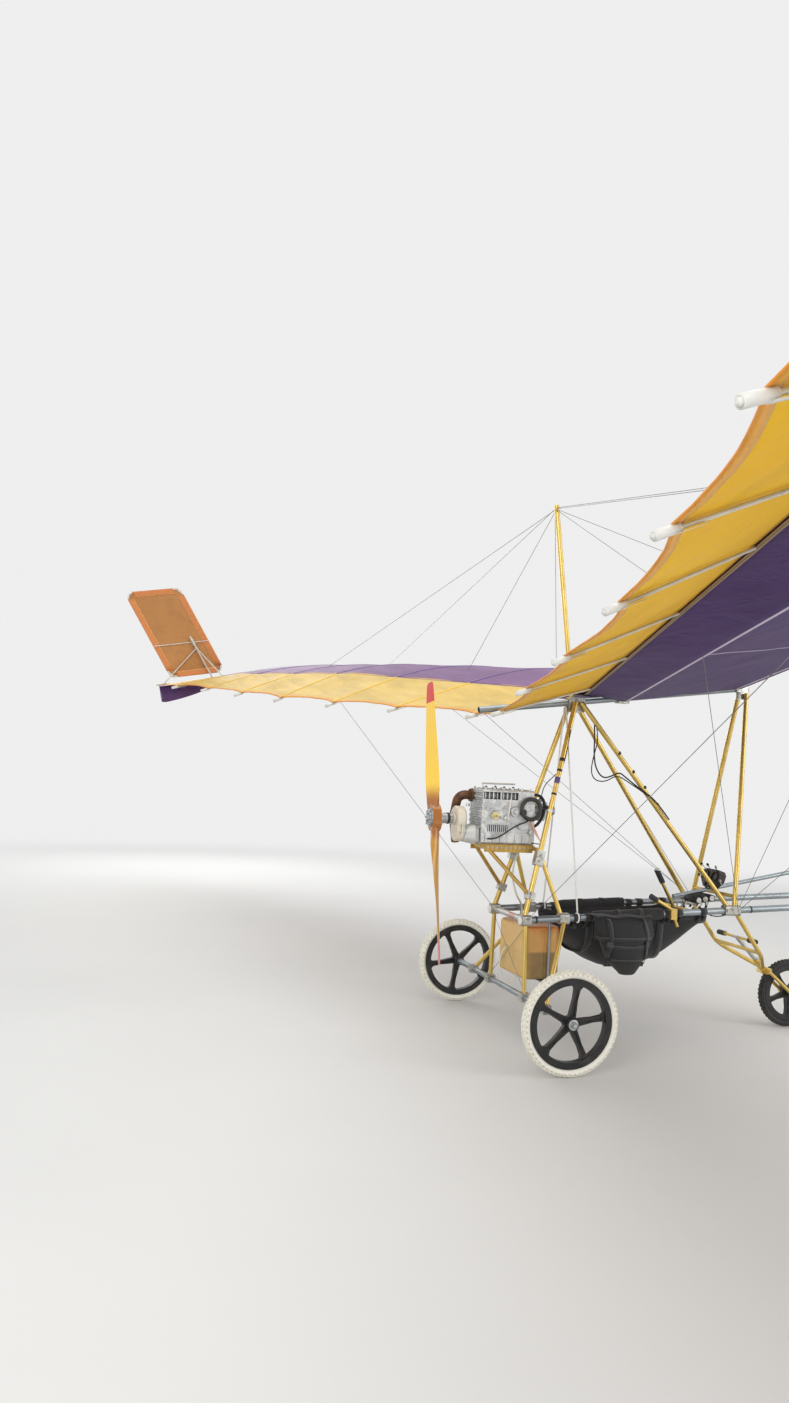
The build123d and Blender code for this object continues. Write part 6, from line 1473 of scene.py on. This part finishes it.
cable("switch_cable_near", 0.0034, hose_rubber, "medium",
      (1212, -64, 752), (1206, -76, 716), (1196, -96, 690), (1206, -130, 676), (1240, -166, 678),
      (1262, -192, 692), (1268, -202, 706))
cable("switch_cable_far", 0.0034, hose_rubber, "medium",
      (1168, 64, 746), (1160, 80, 712), (1150, 104, 690), (1156, 140, 680), (1176, 176, 686),
      (1190, 198, 700))
cable("strut_cable_long", 0.0042, hose_rubber, "medium",
      (452, -50, 1745), (446, -70, 1660), (440, -80, 1570), (452, -85, 1490), (500, -85, 1436),
      (560, -85, 1455), (600, -90, 1478), (640, -98, 1448), (700, -114, 1402),
      (764, -130, 1362), (825, -144, 1310), (892, -158, 1222))
cable("strut_cable_short", 0.0032, hose_rubber, "medium",
      (462, -52, 1742), (478, -60, 1660), (440, -75, 1560), (424, -80, 1470), (452, -80, 1423),
      (520, -80, 1418), (585, -90, 1462), (650, -104, 1425), (730, -124, 1375),
      (800, -138, 1330))


def rear_upright(up):
    """Point of the near rear upright at a height."""
    share = (1.8625 - up) / 1.2072
    return at(0.334 - 0.343 * share, -0.0375 - 0.1785 * share, up)


CABANE_RADIUS = 0.014
strut_top, strut_foot = at(0.366, -0.0375, 1.862), at(1.302, -LONGERON_SIDE, 0.722)
yellow_tie = moulded("yellow_tie", (246, 200, 40), (190, 150, 40), 0.4)
purple_band = moulded("purple_band", (88, 74, 128), (140, 130, 160), 0.5)
for number, (share, finish) in enumerate((
        (0.24, hose_rubber), (0.33, hose_rubber), (0.405, hose_rubber), (0.488, yellow_tie)), 1):
    rod(f"strut_tie_{number}", strut_top.lerp(strut_foot, share),
        strut_top.lerp(strut_foot, share + 0.010), CABANE_RADIUS + 0.0022, finish)
for number, (up, height, finish) in enumerate((
        (1.395, 0.036, purple_band), (1.462, 0.014, hose_rubber), (1.520, 0.020, hose_rubber),
        (1.330, 0.012, hose_rubber), (1.236, 0.014, white_plastic)), 1):
    rod(f"upright_band_{number}", rear_upright(up), rear_upright(up + height),
        CABANE_RADIUS + 0.0012, finish)
for number, (sign, start, end, finish) in enumerate((
        (-1, 0.722, 0.762, grip_rubber), (-1, 0.770, 0.800, bright_alloy),
        (-1, 0.812, 0.822, grip_rubber), (1, 0.60, 0.64, grip_rubber),
        (1, 0.70, 0.72, grip_rubber), (-1, 1.400, 1.412, hose_rubber),
        (-1, 0.052, 0.064, hose_rubber)), 1):
    rod(f"longeron_wrap_{number}", on_longeron(start, sign), on_longeron(end, sign),
        LONGERON_RADIUS + 0.0016, finish)
for number, sign in enumerate((1, -1), 1):
    rod(f"gear_cross_wire_{number}", (sign * 0.003, -0.219 * sign, 0.628),
        (sign * 0.003, 0.231 * sign, 0.292), 0.0013, wire_steel, sides=10)

# Tyres. The main pair are cream rubber and the nose one is black, all with low knobs. Each is one
# moulding, a little dirty where it has run.
KNOB, KNOB_ROW = 0.0062, 16.3636


def tyre(name, node, body, centre, radius, width, rim, knobs, finish_name, colour, dirt_and_groove_shade):
    """A tyre: a torus drawn to its section, its tread faces raised as knobs, in soiled rubber
    with a fine dry grain and painted shade in the grooves between the knobs."""
    tube = (radius - KNOB - rim) / 2
    piece = solid(name, "torus", major_segments=knobs, minor_segments=22,
                  major_radius=rim + tube, minor_radius=tube)
    for vertex in piece.data.vertices:
        share = max(-1.0, min(1.0, (vertex.co.xy.length - rim - tube) / tube))
        bulge = blend(0.62, 1.0, min(1.0, max(0.0, (share + 1) / 1.1)))
        vertex.co.z *= width / 2 / tube * bulge * 0.985

    def tread(place, normal):
        out = math.hypot(place.x, place.y)
        column = math.floor(math.atan2(place.y, place.x) / (math.tau / knobs))
        row = round(math.degrees(math.atan2(place.z, out - rim - tube)) / KNOB_ROW - 0.5)
        return out > rim + tube * 1.12 and (column + row) % 2 == 0

    pick(piece, tread)
    bpy.ops.mesh.inset(thickness=0.0011, use_individual=True)
    bpy.ops.mesh.inset(thickness=0.0009, depth=KNOB - 0.0004, use_individual=True)
    put_down(piece)
    piece.data.transform(Matrix.Translation(centre) @ Matrix.Rotation(math.pi / 2, 4, "X"))
    piece.data.shade_smooth()
    smooth_by_angle(piece, 34)
    finish = Finish(finish_name, sheen_weight=0.15)
    place = finish.place(move=-centre)
    out = (finish.axis("X", place) ** 2 + finish.axis("Z", place) ** 2) ** 0.5
    crown = out.between(radius - 0.03, radius)
    dust, grain = finish.noise(26, 6, roughness=0.7), finish.noise(600, 2)
    # Dust lies on the crown; the grooves between the knobs are darkened by ambient occlusion as
    # painted shade.
    finish.paint(
        base_color=finish.coats(
            colour, (dirt_and_groove_shade, (crown * 0.45 + 0.1) * dust.between(0.35, 0.7)),
            (darker(dirt_and_groove_shade, 0.4), finish.hollow(0.010).between(0.3, 0.7) * 0.8)),
        roughness=0.62 + grain * 0.15 + dust * 0.1,
        normal=finish.bump(grain * 0.3 + dust, 0.0006),
    ).cover(piece)
    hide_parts(node)
    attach(piece, body)


for side, sign in SIDES:
    tyre(f"main_tyre_{side}_rubber", f"main_tyre_{side}", f"{side}_wheel",
         at(0, sign * 0.78, AXLE_UP), AXLE_UP, 0.054, 0.2105, 112,
         f"cream_rubber_{side}", (244, 242, 230), (206, 200, 178))
tyre("nose_tyre_rubber", "nose_tyre", "nose_wheel", at(1.845, 0, 0.201), 0.201,
     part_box("nose_tyre")[1].y * 2, 0.1615, 96, "black_rubber", (34, 34, 35), (96, 92, 84))

bpy.context.view_layer.update()
size = {"cad": [list(c) for c in cad_box], "visual": [list(c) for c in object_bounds()]}
